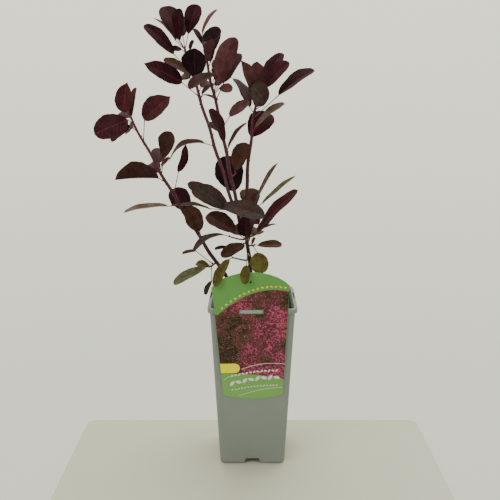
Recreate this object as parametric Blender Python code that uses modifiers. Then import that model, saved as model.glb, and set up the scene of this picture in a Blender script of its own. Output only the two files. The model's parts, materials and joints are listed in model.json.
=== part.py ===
"""A young smoke bush in a deep square nursery pot with a hanging plant label.

Metres, +Z up. The origin is the centre of the pot's flat underside, and the
label hangs on the -Y side. The pot, its soil and its label are plain solids.
The plant is worked out from a short plan: a few limbs, each an arc of named
length and heading, short twigs that leave them, and rows of leaves. A leaf
row gives where the leaf stands on its stem, how it is turned and its form, and
a rule works out its petiole and its folded, drooping blade. Headings are
degrees in the XZ plane from +X up towards +Z, and lean is degrees out of it
towards -Y. The swing turns the petiole away from its blade's heading.
"""
import math
import random
from collections import namedtuple

import bmesh
import bpy
import numpy as np
from mathutils import Matrix, Vector

MM = 0.001
GAP = 0.3 * MM  # clearance between pieces that touch
SLOPE_GAP = 0.36 * MM  # the same, measured level to a sloping wall

# Pot
POT_HEIGHT = 215 * MM
RIM_HALF = 56 * MM
WALL_TOP_HALF = 53.4 * MM
FOOT_HALF = 42 * MM
WALL = 1.6 * MM
FLOOR_TOP = 9 * MM
POT_CORNER = 7 * MM
FOOT_BEVEL = 3.5 * MM
POT_SEGMENTS = 3
COLLAR_HEIGHT = 6 * MM
POCKET_HIGH = 6.5 * MM
POCKET_FOOT_WIDTH = 22 * MM
POCKET_TOP_WIDTH = 16 * MM
POCKET_DEPTH = 26 * MM
CUT_PAST = 1 * MM  # how far a cutter runs past the face that it opens
DRAIN_RADIUS = 4.5 * MM
DRAIN_OUT = 26 * MM
SLOT_SIZE = (1.6 * MM, 30 * MM, 4 * MM)  # blind groove in each side of the rim
SLOT_FROM_EDGE = 1.9 * MM
SLOT_BACK = 8 * MM

# Soil
SOIL_TOP = 202.7 * MM

# Label, its outline centred on LABEL_X and measured from its foot
LABEL_X = 1 * MM
LABEL_ROLL = 1.2  # degrees that it hangs askew
LABEL_FOOT_Z = 94 * MM
LABEL_HEIGHT = 170 * MM
LABEL_THICK = 0.6 * MM
LABEL_SHOULDER = 152 * MM
LABEL_TOP_HALF = 47.6 * MM
LABEL_FOOT_HALF = 38.2 * MM
LABEL_FOOT_SAG = 6 * MM
LABEL_HOLE_RADIUS = 1.5 * MM
LABEL_HOLE_DOWN = 13 * MM
STRAP_SIZE = (28.8 * MM, 4.4 * MM)  # moulded bar on the collar, in the label's window
STRAP_PROUD = 1.9 * MM
WINDOW_MARGIN = 0.7 * MM
LABEL_ARC = 60  # degrees of turn in each half of its arcs
ARC_STEPS = 12

# Plant
LIMB_SIDES = 2  # bevel_resolution: eight sides
CROWN_SIDES = 1  # six sides
TWIG_SIDES = 0  # four sides
PATH_STEP = 1.5 * MM
LIMB_SPACING = 14 * MM
SHORT_LIMB = 30 * MM
ROOT_PICKS = (1, 2, 4)  # path points kept where a limb flares or bends at its root
SWOOP = 4 * MM  # distance over which a side limb bends from leaving its parent
WANDER = 4.0  # degrees that a limb's heading swings between its leaves
WANDER_LENGTH = 58 * MM
WANDER_FULL = 50  # limb length in mm from which it swings fully
FLARE_LENGTH = 8 * MM
PETIOLE_RADII = (0.75 * MM, 0.5 * MM, 0.28 * MM)  # at the stem, at the blade and sunk in it
PETIOLE_SINK = 4 * MM
LONG_PETIOLE = 14  # mm
PETIOLE_KNEE = 0.55  # how far out its curve's middle point lies
PETIOLE_LIFT = 0.5  # how far a petiole follows its stem before it turns out
BLADE_THICK = 0.8 * MM
BLADE_STATIONS = 5
BLADE_ACROSS = 2
BLADE_RATIO = 0.5  # width over length
BASE_WIDTH = 2.4 * MM
TIP_WIDTH = 3.6 * MM
BLADE_PIVOT = 0.35  # share of the blade at which it lies along its heading
RIPPLE = 0.02  # height of the margin's wave over the blade's length
VIEW_LIFT = 12.4  # height in degrees from which a blade's turn is counted
BLADE_BALL = 1.9 * MM
PETIOLE_BALL = 0.9 * MM
LIMB_BALL = 0.6 * MM
PLATE_BALL = 1.0 * MM
RIM_BALL = 2.0 * MM
BLADE_BALLS = (14, 7)  # along and across
PETIOLE_BALLS = 6
PETIOLE_BARE = 5 * MM  # length at its root that needs no clearance
PLATE_SPACING = 4 * MM
PLATE_FROM = 110 * MM  # height on the label above which leaves hang near it
SAME_MASS = 0.5  # how close leaves of one mass may come, as a share of the clearance
SWAYS = (0, 6, -6, 12, -12, 18, -18, 25, -25, 32, -32)  # degrees that a lean may give way by
CHANCES = {"width": (0.95, 1.05), "droop": (0.6, 1.4), "fold": (0.7, 1.4), "ripple": (0.2, 1.0)}
SEED = 7

Limb = namedtuple("Limb", "parent at headings leans length radii flare crown")
Leaf = namedtuple("Leaf", "at heading lean length petiole turn tint wide swing form",
                  defaults=(1.0, 0.0, "oval"))
Form = namedtuple("Form", "peak round fold droop")

# A peak over 1 puts a blade's widest place beyond its middle, and a round under 1
# rounds its ends. Each half is lifted from flat by the fold, and the blade bends
# over its length by the droop, both in degrees.
FORMS = {
    "oval": Form(1.18, 0.52, 14, 24),
    "obovate": Form(1.6, 0.56, 14, 24),
    "ovate": Form(0.84, 0.68, 14, 24),
    "folded": Form(1.0, 0.6, 38, 24),
    "arched": Form(1.0, 0.6, 14, 60),
    "lance": Form(1.0, 0.75, 14, 8),
}

# The parent is None for a stem that rises from the soil at x = at, in mm. The
# crown is the share of the limb at which its foliage mass takes over.
LIMBS = {
    "trunk": Limb(None, 0, (92, 97), (0, 0), 100, (2.4, 1.9), 1.6, 1.0),
    "left_stem": Limb(None, -10, (125, 115), (2, 7), 280, (2.2, 1.2), 1.2, 0.6),
    "right_bough": Limb("trunk", 1.0, (90, 80), (11, 8), 172, (1.9, 1.2), 0, 0.6),
    "middle_bough": Limb("trunk", 0.95, (100, 102), (12, 3), 244, (2.0, 1.1), 0, 0.45),
    "back_bough": Limb("middle_bough", 0.15, (108, 107), (-15, -7), 218, (1.9, 1.2), 0, 0.36),
}
TWIGS = {
    "front_spray": Limb("trunk", 0.68, (100, 100), (55, 85), 34, (1.3, 0.9), 0, 0),
    "front_left_spray": Limb("trunk", 0.62, (152, 140), (40, 65), 37, (1.2, 0.9), 0, 0),
    "low_right_spray": Limb("trunk", 0.80, (20, 20), (30, 30), 7, (1.2, 1.0), 0, 0),
    "low_left_spray": Limb("trunk", 0.85, (200, 200), (50, 50), 6, (1.2, 1.0), 0, 0),
    "fork_left_spray": Limb("trunk", 0.90, (160, 158), (15, 15), 20, (1.1, 0.9), 0, 0),
    "fork_spray": Limb("trunk", 0.90, (100, 110), (60, 60), 7, (1.2, 1.0), 0, 0),
    "fork_right_spray": Limb("trunk", 0.93, (15, 35), (15, 15), 8, (1.2, 1.0), 0, 0),
    "right_spray": Limb("right_bough", 0.16, (10, 40), (-20, -20), 8, (1.2, 1.0), 0, 0),
    "middle_spray": Limb("middle_bough", 0.17, (165, 160), (55, 45), 15, (1.2, 1.0), 0, 0),
    "middle_back_spray": Limb("middle_bough", 0.20, (100, 110), (-75, -65), 28, (1.2, 1.0), 0, 0),
    "middle_side_spray": Limb("middle_bough", 0.35, (80, 80), (20, 20), 6, (1.2, 1.0), 0, 0),
    "left_low_spray": Limb("left_stem", 0.25, (195, 200), (35, 25), 8, (1.2, 1.0), 0, 0),
    "left_front_spray": Limb("left_stem", 0.40, (80, 110), (60, 40), 7, (1.2, 1.0), 0, 0),
    "left_back_spray": Limb("left_stem", 0.49, (60, 80), (-60, -30), 6, (1.2, 1.0), 0, 0),
    "left_wing_spray": Limb("left_stem", 0.57, (185, 180), (-10, 0), 6, (1.2, 1.0), 0, 0),
    "far_spray": Limb("trunk", 0.84, (60, 70), (-70, -55), 16, (1.3, 1.0), 0, 0),
}
LEAVES = {
    "left_stem": [
        Leaf(0.62, 71, 10, 37, 30, -50, "plum", 0.78, -14, "ovate"),
        Leaf(0.68, 178, 20, 54, 12, 37, "umber", 1.55, -22, "folded"),
        Leaf(0.72, 74, 12, 35, 22, 30, "umber", 1.55, -12, "obovate"),
        Leaf(0.74, 50, -30, 16, 8, 40, "burgundy"),
        Leaf(0.89, 44, -10, 44, 26, 25, "burgundy", 1.5, 26, "ovate"),
        Leaf(0.98, 202, 24, 44, 8, 8, "plum", 1.45, -32),
        Leaf(0.96, 211, -15, 34, 6, 25, "plum"),
        Leaf(1.0, 80, 12, 37, 12, 18, "burgundy", 1.3, 76, "ovate"),
        Leaf(0.99, 86, -20, 37, 6, 35, "burgundy", 0.6, 12),
        Leaf(0.97, 150, -66, 42, 16, 10, "plum"),
        Leaf(0.93, 200, -70, 38, 16, 10, "burgundy"),
        Leaf(0.74, 95, -64, 40, 14, 10, "plum"),
        Leaf(0.70, 150, -62, 40, 14, 10, "plum"),
    ],
    "back_bough": [
        Leaf(0.42, 194, -8, 57, 13, 62, "brown", 0.7, -4, "arched"),
        Leaf(0.70, 45, -30, 24, 8, 50, "plum"),
        Leaf(0.70, -18, 30, 22, 8, 65, "plum"),
        Leaf(0.72, 152, 10, 53, 28, 22, "plum", 1.0, 6, "ovate"),
        Leaf(0.825, 147, 26, 41, 6, 45, "brown", 0.9),
        Leaf(0.80, 88, 34, 41, 7, 5, "ink", 1.6, 0, "obovate"),
        Leaf(0.85, 133, 12, 50, 35, 32, "plum", 0.82, 10),
        Leaf(0.985, 172, 0, 14, 6, 15, "ink", 1.1),
        Leaf(0.97, 66, 25, 13, 8, 30, "burgundy", 1.0, -40),
        Leaf(1.0, 111, -16, 48, 17, 20, "plum", 1.15, 27, "obovate"),
        Leaf(1.0, 131, -6, 45, 18, 66, "plum", 0.8, 23),
        Leaf(1.0, 89, 18, 39, 13, 25, "plum", 0.95, 38, "obovate"),
        Leaf(1.0, 73, -6, 38, 20, 10, "plum", 1.2, -7, "obovate"),
        Leaf(0.98, 102, -45, 42, 26, 10, "plum", 0.8),
        Leaf(0.86, 80, -62, 42, 14, 10, "plum"),
        Leaf(0.78, 165, -64, 38, 22, 10, "burgundy"),
        Leaf(0.74, 30, -62, 40, 14, 10, "plum"),
    ],
    "middle_bough": [
        Leaf(0.48, 111, 16, 48, 12, 52, "plum", 0.95, -8),
        Leaf(0.47, 57, -14, 39, 6, 64, "brown", 0.7, -8),
        Leaf(0.58, 40, -12, 30, 20, 32, "rose", 1.15, -3),
        Leaf(0.765, 72, 16, 62, 11, 150, "rose", 0.88, -38),
        Leaf(0.76, -12, 30, 17, 14, 20, "rose", 1.6, -12),
        Leaf(0.84, 208, 24, 38, 9, 45, "umber", 1.25, 150),
        Leaf(0.73, 63, -16, 41, 24, 35, "plum", 1.1, -16),
        Leaf(0.77, 38, -34, 32, 10, 35, "plum"),
        Leaf(0.94, 80, -30, 26, 14, 25, "ink", 1.0, -94),
        Leaf(0.89, 90, 34, 29, 9, 145, "burgundy", 1.2, -45),
        Leaf(0.98, 28, 36, 25, 10, 10, "ink", 1.25, 66),
        Leaf(0.98, 118, -18, 22, 6, 40, "ink", 0.8),
        Leaf(1.0, 60, 6, 32, 13, 60, "rose", 0.9, 26),
        Leaf(0.96, 60, -60, 34, 14, 10, "plum"),
        Leaf(0.86, 20, -62, 38, 14, 10, "burgundy"),
        Leaf(0.80, 50, -64, 42, 16, 10, "plum"),
        Leaf(0.54, 130, -60, 36, 12, 10, "plum"),
    ],
    "right_bough": [
        Leaf(0.64, 51, -10, 42, 12, 15, "burgundy", 1.6, 42),
        Leaf(0.74, 42, 20, 48, 8, 62, "grey", 0.95, 5),
        Leaf(0.93, 107, 20, 62, 7, 40, "rose", 0.8, -10, "ovate"),
        Leaf(0.9, 125, 40, 34, 18, 15, "grey", 1.5, -120),
        Leaf(0.88, 116, -50, 62, 12, 40, "plum", 0.6, 60),
        Leaf(1.0, 92, -30, 35, 13, 25, "burgundy", 1.3, 0, "ovate"),
        Leaf(1.0, 60, -18, 49, 14, 25, "plum", 0.75),
        Leaf(0.92, 50, 16, 39, 29, 38, "burgundy", 1.25, 3),
        Leaf(0.84, 37, 0, 52, 41, 50, "plum", 1.0, -13),
        Leaf(0.98, 80, -60, 40, 14, 10, "plum"),
        Leaf(0.88, 62, -62, 36, 10, 10, "plum"),
        Leaf(0.68, 45, -62, 40, 14, 10, "burgundy"),
        Leaf(0.96, 78, -58, 38, 16, 10, "plum"),
    ],
    "front_spray": [
        Leaf(1.0, -96, 40, 26, 21, 15, "olive"),
    ],
    "front_left_spray": [
        Leaf(1.0, 238, 44, 43, 8, 38, "olive", 0.75, -38),
    ],
    "low_right_spray": [
        Leaf(1.0, 5, 20, 32, 6, 54, "brown", 1.05),
        Leaf(0.9, -80, 32, 28, 13, 5, "olive", 1.7),
        Leaf(0.5, 70, -15, 9, 3, 30, "olive"),
    ],
    "low_left_spray": [
        Leaf(1.0, 200, 34, 36, 4, 38, "brown", 1.15, 170),
        Leaf(1.0, 190, -8, 15, 22, 50, "plum", 1.0, -5),
    ],
    "fork_left_spray": [
        Leaf(1.0, 194, 20, 50, 9, 66, "grey", 0.75, -40, "arched"),
    ],
    "fork_spray": [
        Leaf(1.0, 90, 44, 40, 9, 20, "plum"),
        Leaf(1.0, 151, -24, 46, 17, 30, "umber", 1.2),
    ],
    "fork_right_spray": [
        Leaf(1.0, 51, 12, 77, 6, 52, "burgundy", 0.6),
        Leaf(0.9, 20, -20, 20, 15, 66, "plum", 0.7, 22),
        Leaf(1.0, 146, -60, 42, 18, 10, "plum"),
    ],
    "right_spray": [
        Leaf(1.0, 39, -12, 56, 15, 62, "green", 0.45, -17, "lance"),
        Leaf(0.9, 62, 8, 56, 13, 70, "grey", 0.55, 14, "lance"),
        Leaf(0.8, 112, -40, 31, 4, 15, "brown", 1.9, -60),
    ],
    "middle_spray": [
        Leaf(0.8, -10, 20, 56, 14, 45, "grey", 1.1, 150),
        Leaf(1.0, 138, 26, 62, 8, 30, "grey", 0.62),
        Leaf(1.0, 165, 26, 40, 27, 70, "grey", 0.6, 8),
        Leaf(0.8, 150, -25, 57, 4, 20, "umber", 1.0),
    ],
    "middle_back_spray": [
        Leaf(1.0, 107, -8, 47, 2, 15, "ink", 1.65),
        Leaf(1.0, 135, -50, 44, 6, 20, "ink"),
    ],
    "middle_side_spray": [
        Leaf(1.0, 63, 24, 38, 8, 30, "brown", 1.3, 45),
    ],
    "left_low_spray": [
        Leaf(1.0, 203, 16, 46, 7, 52, "olive", 0.85, -24),
        Leaf(0.9, 172, -10, 22, 4, 30, "olive", 1.0, 20),
        Leaf(0.8, 243, 35, 20, 22, 50, "grey", 1.1, 58),
        Leaf(0.4, 186, 10, 17, 36, 50, "brown", 0.8, -86),
    ],
    "left_front_spray": [
        Leaf(1.0, 113, 20, 38, 6, 15, "brown", 1.2, -25),
    ],
    "left_back_spray": [
        Leaf(1.0, 128, -20, 38, 6, 15, "plum", 1.5),
    ],
    "left_wing_spray": [
        Leaf(1.0, 185, 4, 56, 7, 68, "rose", 0.8),
    ],
    "far_spray": [
        Leaf(1.0, 112, -66, 48, 14, 10, "plum"),
        Leaf(0.8, 10, -70, 44, 12, 20, "brown"),
        Leaf(0.6, 165, -72, 42, 16, 20, "plum"),
    ],
}

TINTS = {
    "plum": (0.045, 0.012, 0.018), "burgundy": (0.14, 0.014, 0.022), "ink": (0.02, 0.009, 0.014),
    "umber": (0.04, 0.018, 0.014), "brown": (0.09, 0.045, 0.024), "rose": (0.19, 0.06, 0.075),
    "olive": (0.12, 0.095, 0.018), "green": (0.085, 0.095, 0.04), "grey": (0.075, 0.055, 0.05),
}
POT_COLOUR = (0.20, 0.23, 0.195)
SOIL_COLOUR = (0.022, 0.014, 0.010)
LABEL_COLOUR = (0.14, 0.33, 0.09)
BARK_COLOUR = (0.06, 0.013, 0.018)


def clear_scene():
    """Remove every object, mesh and curve that the file opened with."""
    for item in list(bpy.data.objects):
        bpy.data.objects.remove(item, do_unlink=True)


def new_collection(name):
    """Link a new collection to the scene."""
    group = bpy.data.collections.new(name)
    bpy.context.scene.collection.children.link(group)
    return group


def finish(name, colour, roughness):
    """A plain Principled material."""
    material = bpy.data.materials.new(name)
    material.use_nodes = True
    shader = material.node_tree.nodes["Principled BSDF"]
    shader.inputs["Base Color"].default_value = (*colour, 1.0)
    shader.inputs["Roughness"].default_value = roughness
    shader.inputs["Metallic"].default_value = 0.0
    return material


def object_from(bm, name, group, material=None):
    """Turn a bmesh into an object of a collection."""
    bmesh.ops.recalc_face_normals(bm, faces=bm.faces)
    mesh = bpy.data.meshes.new(name)
    bm.to_mesh(mesh)
    bm.free()
    item = bpy.data.objects.new(name, mesh)
    group.objects.link(item)
    if material:
        mesh.materials.append(material)
    return item


def as_cutter(item):
    """Keep a cutter out of the part."""
    item.hide_render = True
    item.display_type = "WIRE"
    return item


def combine(item, other, operation):
    """Add a Boolean modifier that joins or cuts with another object."""
    modifier = item.modifiers.new(other.name, "BOOLEAN")
    modifier.operation = operation
    modifier.solver = "EXACT"
    modifier.object = other


def frustum(name, half_low, half_high, z_low, z_high, corner, group, foot_bevel=0.0):
    """A square frustum with rounded upright edges, from a four-sided cone."""
    bm = bmesh.new()
    bmesh.ops.create_cone(bm, cap_ends=True, segments=4, radius1=half_low * math.sqrt(2),
                          radius2=half_high * math.sqrt(2), depth=z_high - z_low)
    bmesh.ops.rotate(bm, verts=bm.verts, matrix=Matrix.Rotation(math.pi / 4, 3, "Z"))
    bmesh.ops.translate(bm, verts=bm.verts, vec=(0, 0, (z_low + z_high) / 2))
    if corner:
        upright = [edge for edge in bm.edges if abs(edge.verts[0].co.z - edge.verts[1].co.z) > GAP]
        bmesh.ops.bevel(bm, geom=upright, offset=corner, segments=POT_SEGMENTS, profile=0.5, affect="EDGES")
    if foot_bevel:
        foot = [edge for edge in bm.edges if max(vert.co.z for vert in edge.verts) < z_low + GAP]
        bmesh.ops.bevel(bm, geom=foot, offset=foot_bevel, segments=2, profile=0.5, affect="EDGES")
    return object_from(bm, name, group)


def box(name, size, centre, group):
    """An upright box."""
    bm = bmesh.new()
    bmesh.ops.create_cube(bm, size=1.0)
    bmesh.ops.scale(bm, verts=bm.verts, vec=size)
    bmesh.ops.translate(bm, verts=bm.verts, vec=centre)
    return object_from(bm, name, group)


def wall_half(z):
    """Half the pot's outer width at a height, below the collar."""
    return FOOT_HALF + (WALL_TOP_HALF - FOOT_HALF) * z / POT_HEIGHT


def drainage_pocket(name, turn, group):
    """A trapezoid pocket under one side of the foot, with a drain hole above it."""
    bm = bmesh.new()
    bmesh.ops.create_cube(bm, size=1.0)
    reach = POCKET_DEPTH + 4 * MM
    for vert in bm.verts:
        high = vert.co.z > 0
        width = POCKET_TOP_WIDTH if high else POCKET_FOOT_WIDTH
        vert.co.x *= width
        vert.co.y = vert.co.y * reach - (FOOT_HALF - POCKET_DEPTH + reach / 2)
        vert.co.z = POCKET_HIGH if high else -CUT_PAST
    bmesh.ops.rotate(bm, verts=bm.verts, matrix=Matrix.Rotation(turn, 3, "Z"))
    return as_cutter(object_from(bm, name, group))


def drain_hole(name, turn, group):
    """A round hole from a pocket up through the pot's floor."""
    bm = bmesh.new()
    bmesh.ops.create_cone(bm, cap_ends=True, segments=12, radius1=DRAIN_RADIUS, radius2=DRAIN_RADIUS,
                          depth=FLOOR_TOP)
    bmesh.ops.translate(bm, verts=bm.verts, vec=(0, -DRAIN_OUT, FLOOR_TOP))
    bmesh.ops.rotate(bm, verts=bm.verts, matrix=Matrix.Rotation(turn, 3, "Z"))
    return as_cutter(object_from(bm, name, group))


def window_up():
    """How far up the label its window for the strap lies."""
    return (POT_HEIGHT - COLLAR_HEIGHT / 2 - LABEL_FOOT_Z) / math.cos(label_lean())


def strap_x():
    """Where the middle of the askew label crosses the collar."""
    return LABEL_X - window_up() * math.sin(math.radians(LABEL_ROLL))


def make_pot(parts, cutters):
    """The pot: a tapered shell with a stepped collar, a label strap and drained feet."""
    pot = frustum("pot", FOOT_HALF, WALL_TOP_HALF, 0, POT_HEIGHT, POT_CORNER, parts, FOOT_BEVEL)
    pot.data.materials.append(finish("pot", POT_COLOUR, 0.55))
    collar = frustum("collar", RIM_HALF, RIM_HALF, POT_HEIGHT - COLLAR_HEIGHT, POT_HEIGHT,
                     POT_CORNER + RIM_HALF - WALL_TOP_HALF, cutters)
    strap_z = POT_HEIGHT - COLLAR_HEIGHT / 2
    strap = box("strap", (STRAP_SIZE[0], 2 * STRAP_PROUD, STRAP_SIZE[1]),
                (strap_x(), -RIM_HALF, strap_z), cutters)
    inside = frustum("inside", wall_half(FLOOR_TOP) - WALL, WALL_TOP_HALF - WALL + 0.1 * MM, FLOOR_TOP,
                     POT_HEIGHT + CUT_PAST, POT_CORNER - WALL, cutters)
    for piece, operation in ((collar, "UNION"), (strap, "UNION"), (inside, "DIFFERENCE")):
        combine(pot, as_cutter(piece), operation)
    for side in range(4):
        turn = side * math.pi / 2
        combine(pot, drainage_pocket(f"pocket_{side}", turn, cutters), "DIFFERENCE")
        combine(pot, drain_hole(f"drain_{side}", turn, cutters), "DIFFERENCE")
    for side in (-1, 1):
        centre = (side * (RIM_HALF - SLOT_FROM_EDGE), SLOT_BACK, POT_HEIGHT)
        slot = box(f"rim_slot_{side}", (SLOT_SIZE[0], SLOT_SIZE[1], 2 * SLOT_SIZE[2]), centre, cutters)
        combine(pot, as_cutter(slot), "DIFFERENCE")


def make_soil(parts):
    """The root ball's soil, which fills the pot to a finger's width below its rim."""
    low = wall_half(FLOOR_TOP) - WALL - SLOPE_GAP
    high = wall_half(SOIL_TOP) - WALL - SLOPE_GAP
    soil = frustum("soil", low, high, FLOOR_TOP + GAP, SOIL_TOP, POT_CORNER - WALL, parts)
    soil.data.materials.append(finish("soil", SOIL_COLOUR, 0.95))


def label_outline():
    """The label's outline: a sagging foot, leaning sides and an arched top."""
    def arc(half, base, rise, start, end):
        turns = np.linspace(start, end, ARC_STEPS)
        return [(half * math.sin(a), base + rise * (math.cos(a) - math.cos(end)) / (1 - math.cos(end)))
                for a in turns]

    bend = math.radians(LABEL_ARC)
    foot = arc(LABEL_FOOT_HALF / math.sin(bend), LABEL_FOOT_SAG, -LABEL_FOOT_SAG, -bend, bend)
    top = arc(LABEL_TOP_HALF / math.sin(bend), LABEL_SHOULDER, LABEL_HEIGHT - LABEL_SHOULDER, bend, -bend)
    return foot + top


def closed_spline(curve, points):
    """Add a closed straight-sided spline to a 2D curve."""
    spline = curve.splines.new("POLY")
    spline.points.add(len(points) - 1)
    for point, (x, y) in zip(spline.points, points):
        point.co = (x, y, 0, 1)
    spline.use_cyclic_u = True


def label_lean():
    """The angle at which the label lies against the collar's lower edge and the wall."""
    reach = POT_HEIGHT - COLLAR_HEIGHT - LABEL_FOOT_Z
    return math.atan((RIM_HALF - wall_half(LABEL_FOOT_Z)) / reach)


def label_place():
    """The matrix that stands the flat label up against the pot."""
    foot_y = -wall_half(LABEL_FOOT_Z) - SLOPE_GAP - LABEL_THICK / 2
    stand = Matrix.Rotation(math.pi / 2 + label_lean(), 4, "X")
    askew = Matrix.Rotation(math.radians(LABEL_ROLL), 4, "Z")
    return Matrix.Translation((LABEL_X, foot_y, LABEL_FOOT_Z)) @ stand @ askew


def make_label(parts):
    """The thin label, with a punched hole and the window that its strap shows in."""
    curve = bpy.data.curves.new("label", "CURVE")
    curve.dimensions = "2D"
    curve.fill_mode = "BOTH"
    curve.extrude = LABEL_THICK / 2
    closed_spline(curve, label_outline())
    hole_v = LABEL_HEIGHT - LABEL_HOLE_DOWN
    turns = np.linspace(0, 2 * math.pi, 9)[:-1]
    closed_spline(curve, [(LABEL_HOLE_RADIUS * math.cos(a), hole_v + LABEL_HOLE_RADIUS * math.sin(a))
                          for a in turns])
    window_v = window_up()
    half_u = STRAP_SIZE[0] / 2 + WINDOW_MARGIN
    half_v = STRAP_SIZE[1] / 2 + WINDOW_MARGIN
    corners = ((-1, -1), (1, -1), (1, 1), (-1, 1))
    closed_spline(curve, [(u * half_u, window_v + v * half_v) for u, v in corners])
    label = mesh_from_curve(curve, "label", parts, label_place())
    label.data.materials.append(finish("label", LABEL_COLOUR, 0.4))


def mesh_from_curve(curve, name, group, place=None):
    """Turn a curve into a welded mesh object and remove the curve."""
    guide = bpy.data.objects.new(name + "_curve", curve)
    bpy.context.scene.collection.objects.link(guide)
    if place:
        guide.matrix_world = place
    bpy.context.view_layer.update()
    evaluated = guide.evaluated_get(bpy.context.evaluated_depsgraph_get())
    mesh = bpy.data.meshes.new_from_object(evaluated)
    bm = bmesh.new()
    bm.from_mesh(mesh)
    bmesh.ops.remove_doubles(bm, verts=bm.verts, dist=0.00001)
    item = object_from(bm, name, group)
    item.matrix_world = guide.matrix_world
    bpy.data.objects.remove(guide, do_unlink=True)
    bpy.data.curves.remove(curve)
    bpy.data.meshes.remove(mesh)
    return item


def direction(heading, lean):
    """Unit vector for a heading in the XZ plane and a lean towards -Y."""
    turn, tip = math.radians(heading), math.radians(lean)
    return np.array((math.cos(turn) * math.cos(tip), -math.sin(tip), math.sin(turn) * math.cos(tip)))


def unit(vector):
    """The vector at length one."""
    return vector / np.linalg.norm(vector)


class Stem:
    """A limb's path: evenly spaced points with a radius at each."""

    def __init__(self, limb, stems):
        length = limb.length * MM
        start, leaving = self.root(limb, stems)
        steps = round(length / PATH_STEP)
        travel = np.linspace(0, length, steps + 1)
        share = travel / length
        swing = WANDER * np.sin(2 * math.pi * travel / WANDER_LENGTH) * min(1, limb.length / WANDER_FULL)
        headings = limb.headings[0] + (limb.headings[1] - limb.headings[0]) * share + swing
        leans = limb.leans[0] + (limb.leans[1] - limb.leans[0]) * share
        runs = np.array([direction(h, k) for h, k in zip(headings, leans)])
        if leaving is not None:
            bend = np.exp(-np.maximum(0, travel - PATH_STEP) / SWOOP)[:, None]
            runs = runs * (1 - bend) + leaving * bend
            runs /= np.linalg.norm(runs, axis=1)[:, None]
        moves = (runs[1:] + runs[:-1]) / 2 * (length / steps)
        self.points = start + np.vstack((np.zeros(3), np.cumsum(moves, axis=0)))
        self.travel = travel
        self.runs = runs
        self.radii = (limb.radii[0] + (limb.radii[1] - limb.radii[0]) * share) * MM
        self.radii = self.radii + limb.flare * MM * np.exp(-travel / FLARE_LENGTH)

    def root(self, limb, stems):
        """Where a limb starts and, for a side limb, the way it leaves its parent."""
        if limb.parent is None:
            return np.array((limb.at * MM, 0, SOIL_TOP + GAP)), np.array((0, 0, 1.0))
        parent = stems[limb.parent]
        at, along, radius = parent.at(limb.at)
        if limb.at == 1.0:
            return at + along * GAP, along
        aim = direction(limb.headings[0], limb.leans[0])
        side = unit(aim - along * np.dot(aim, along))
        return at + side * (radius + GAP), side

    def at(self, share):
        """Point, direction and radius at a share of the path."""
        index = round(share * (len(self.points) - 1))
        return self.points[index], self.runs[index], self.radii[index]

    def stretch(self, low, high):
        """The points and radii of a stretch, thinned to the modelling spacing."""
        first, last = (round(share * (len(self.points) - 1)) for share in (low, high))
        count = max(2, round((self.travel[last] - self.travel[first]) / LIMB_SPACING) + 1)
        picks = np.linspace(first, last, count).round().astype(int)
        if not first and self.travel[-1] > SHORT_LIMB:
            picks = np.append(picks, ROOT_PICKS)
        picks = np.unique(picks)
        return self.points[picks], self.radii[picks]


def grow_stems():
    """Every limb and twig by name, parents before children."""
    stems = {}
    for name, limb in {**LIMBS, **TWIGS}.items():
        stems[name] = Stem(limb, stems)
    return stems


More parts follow.
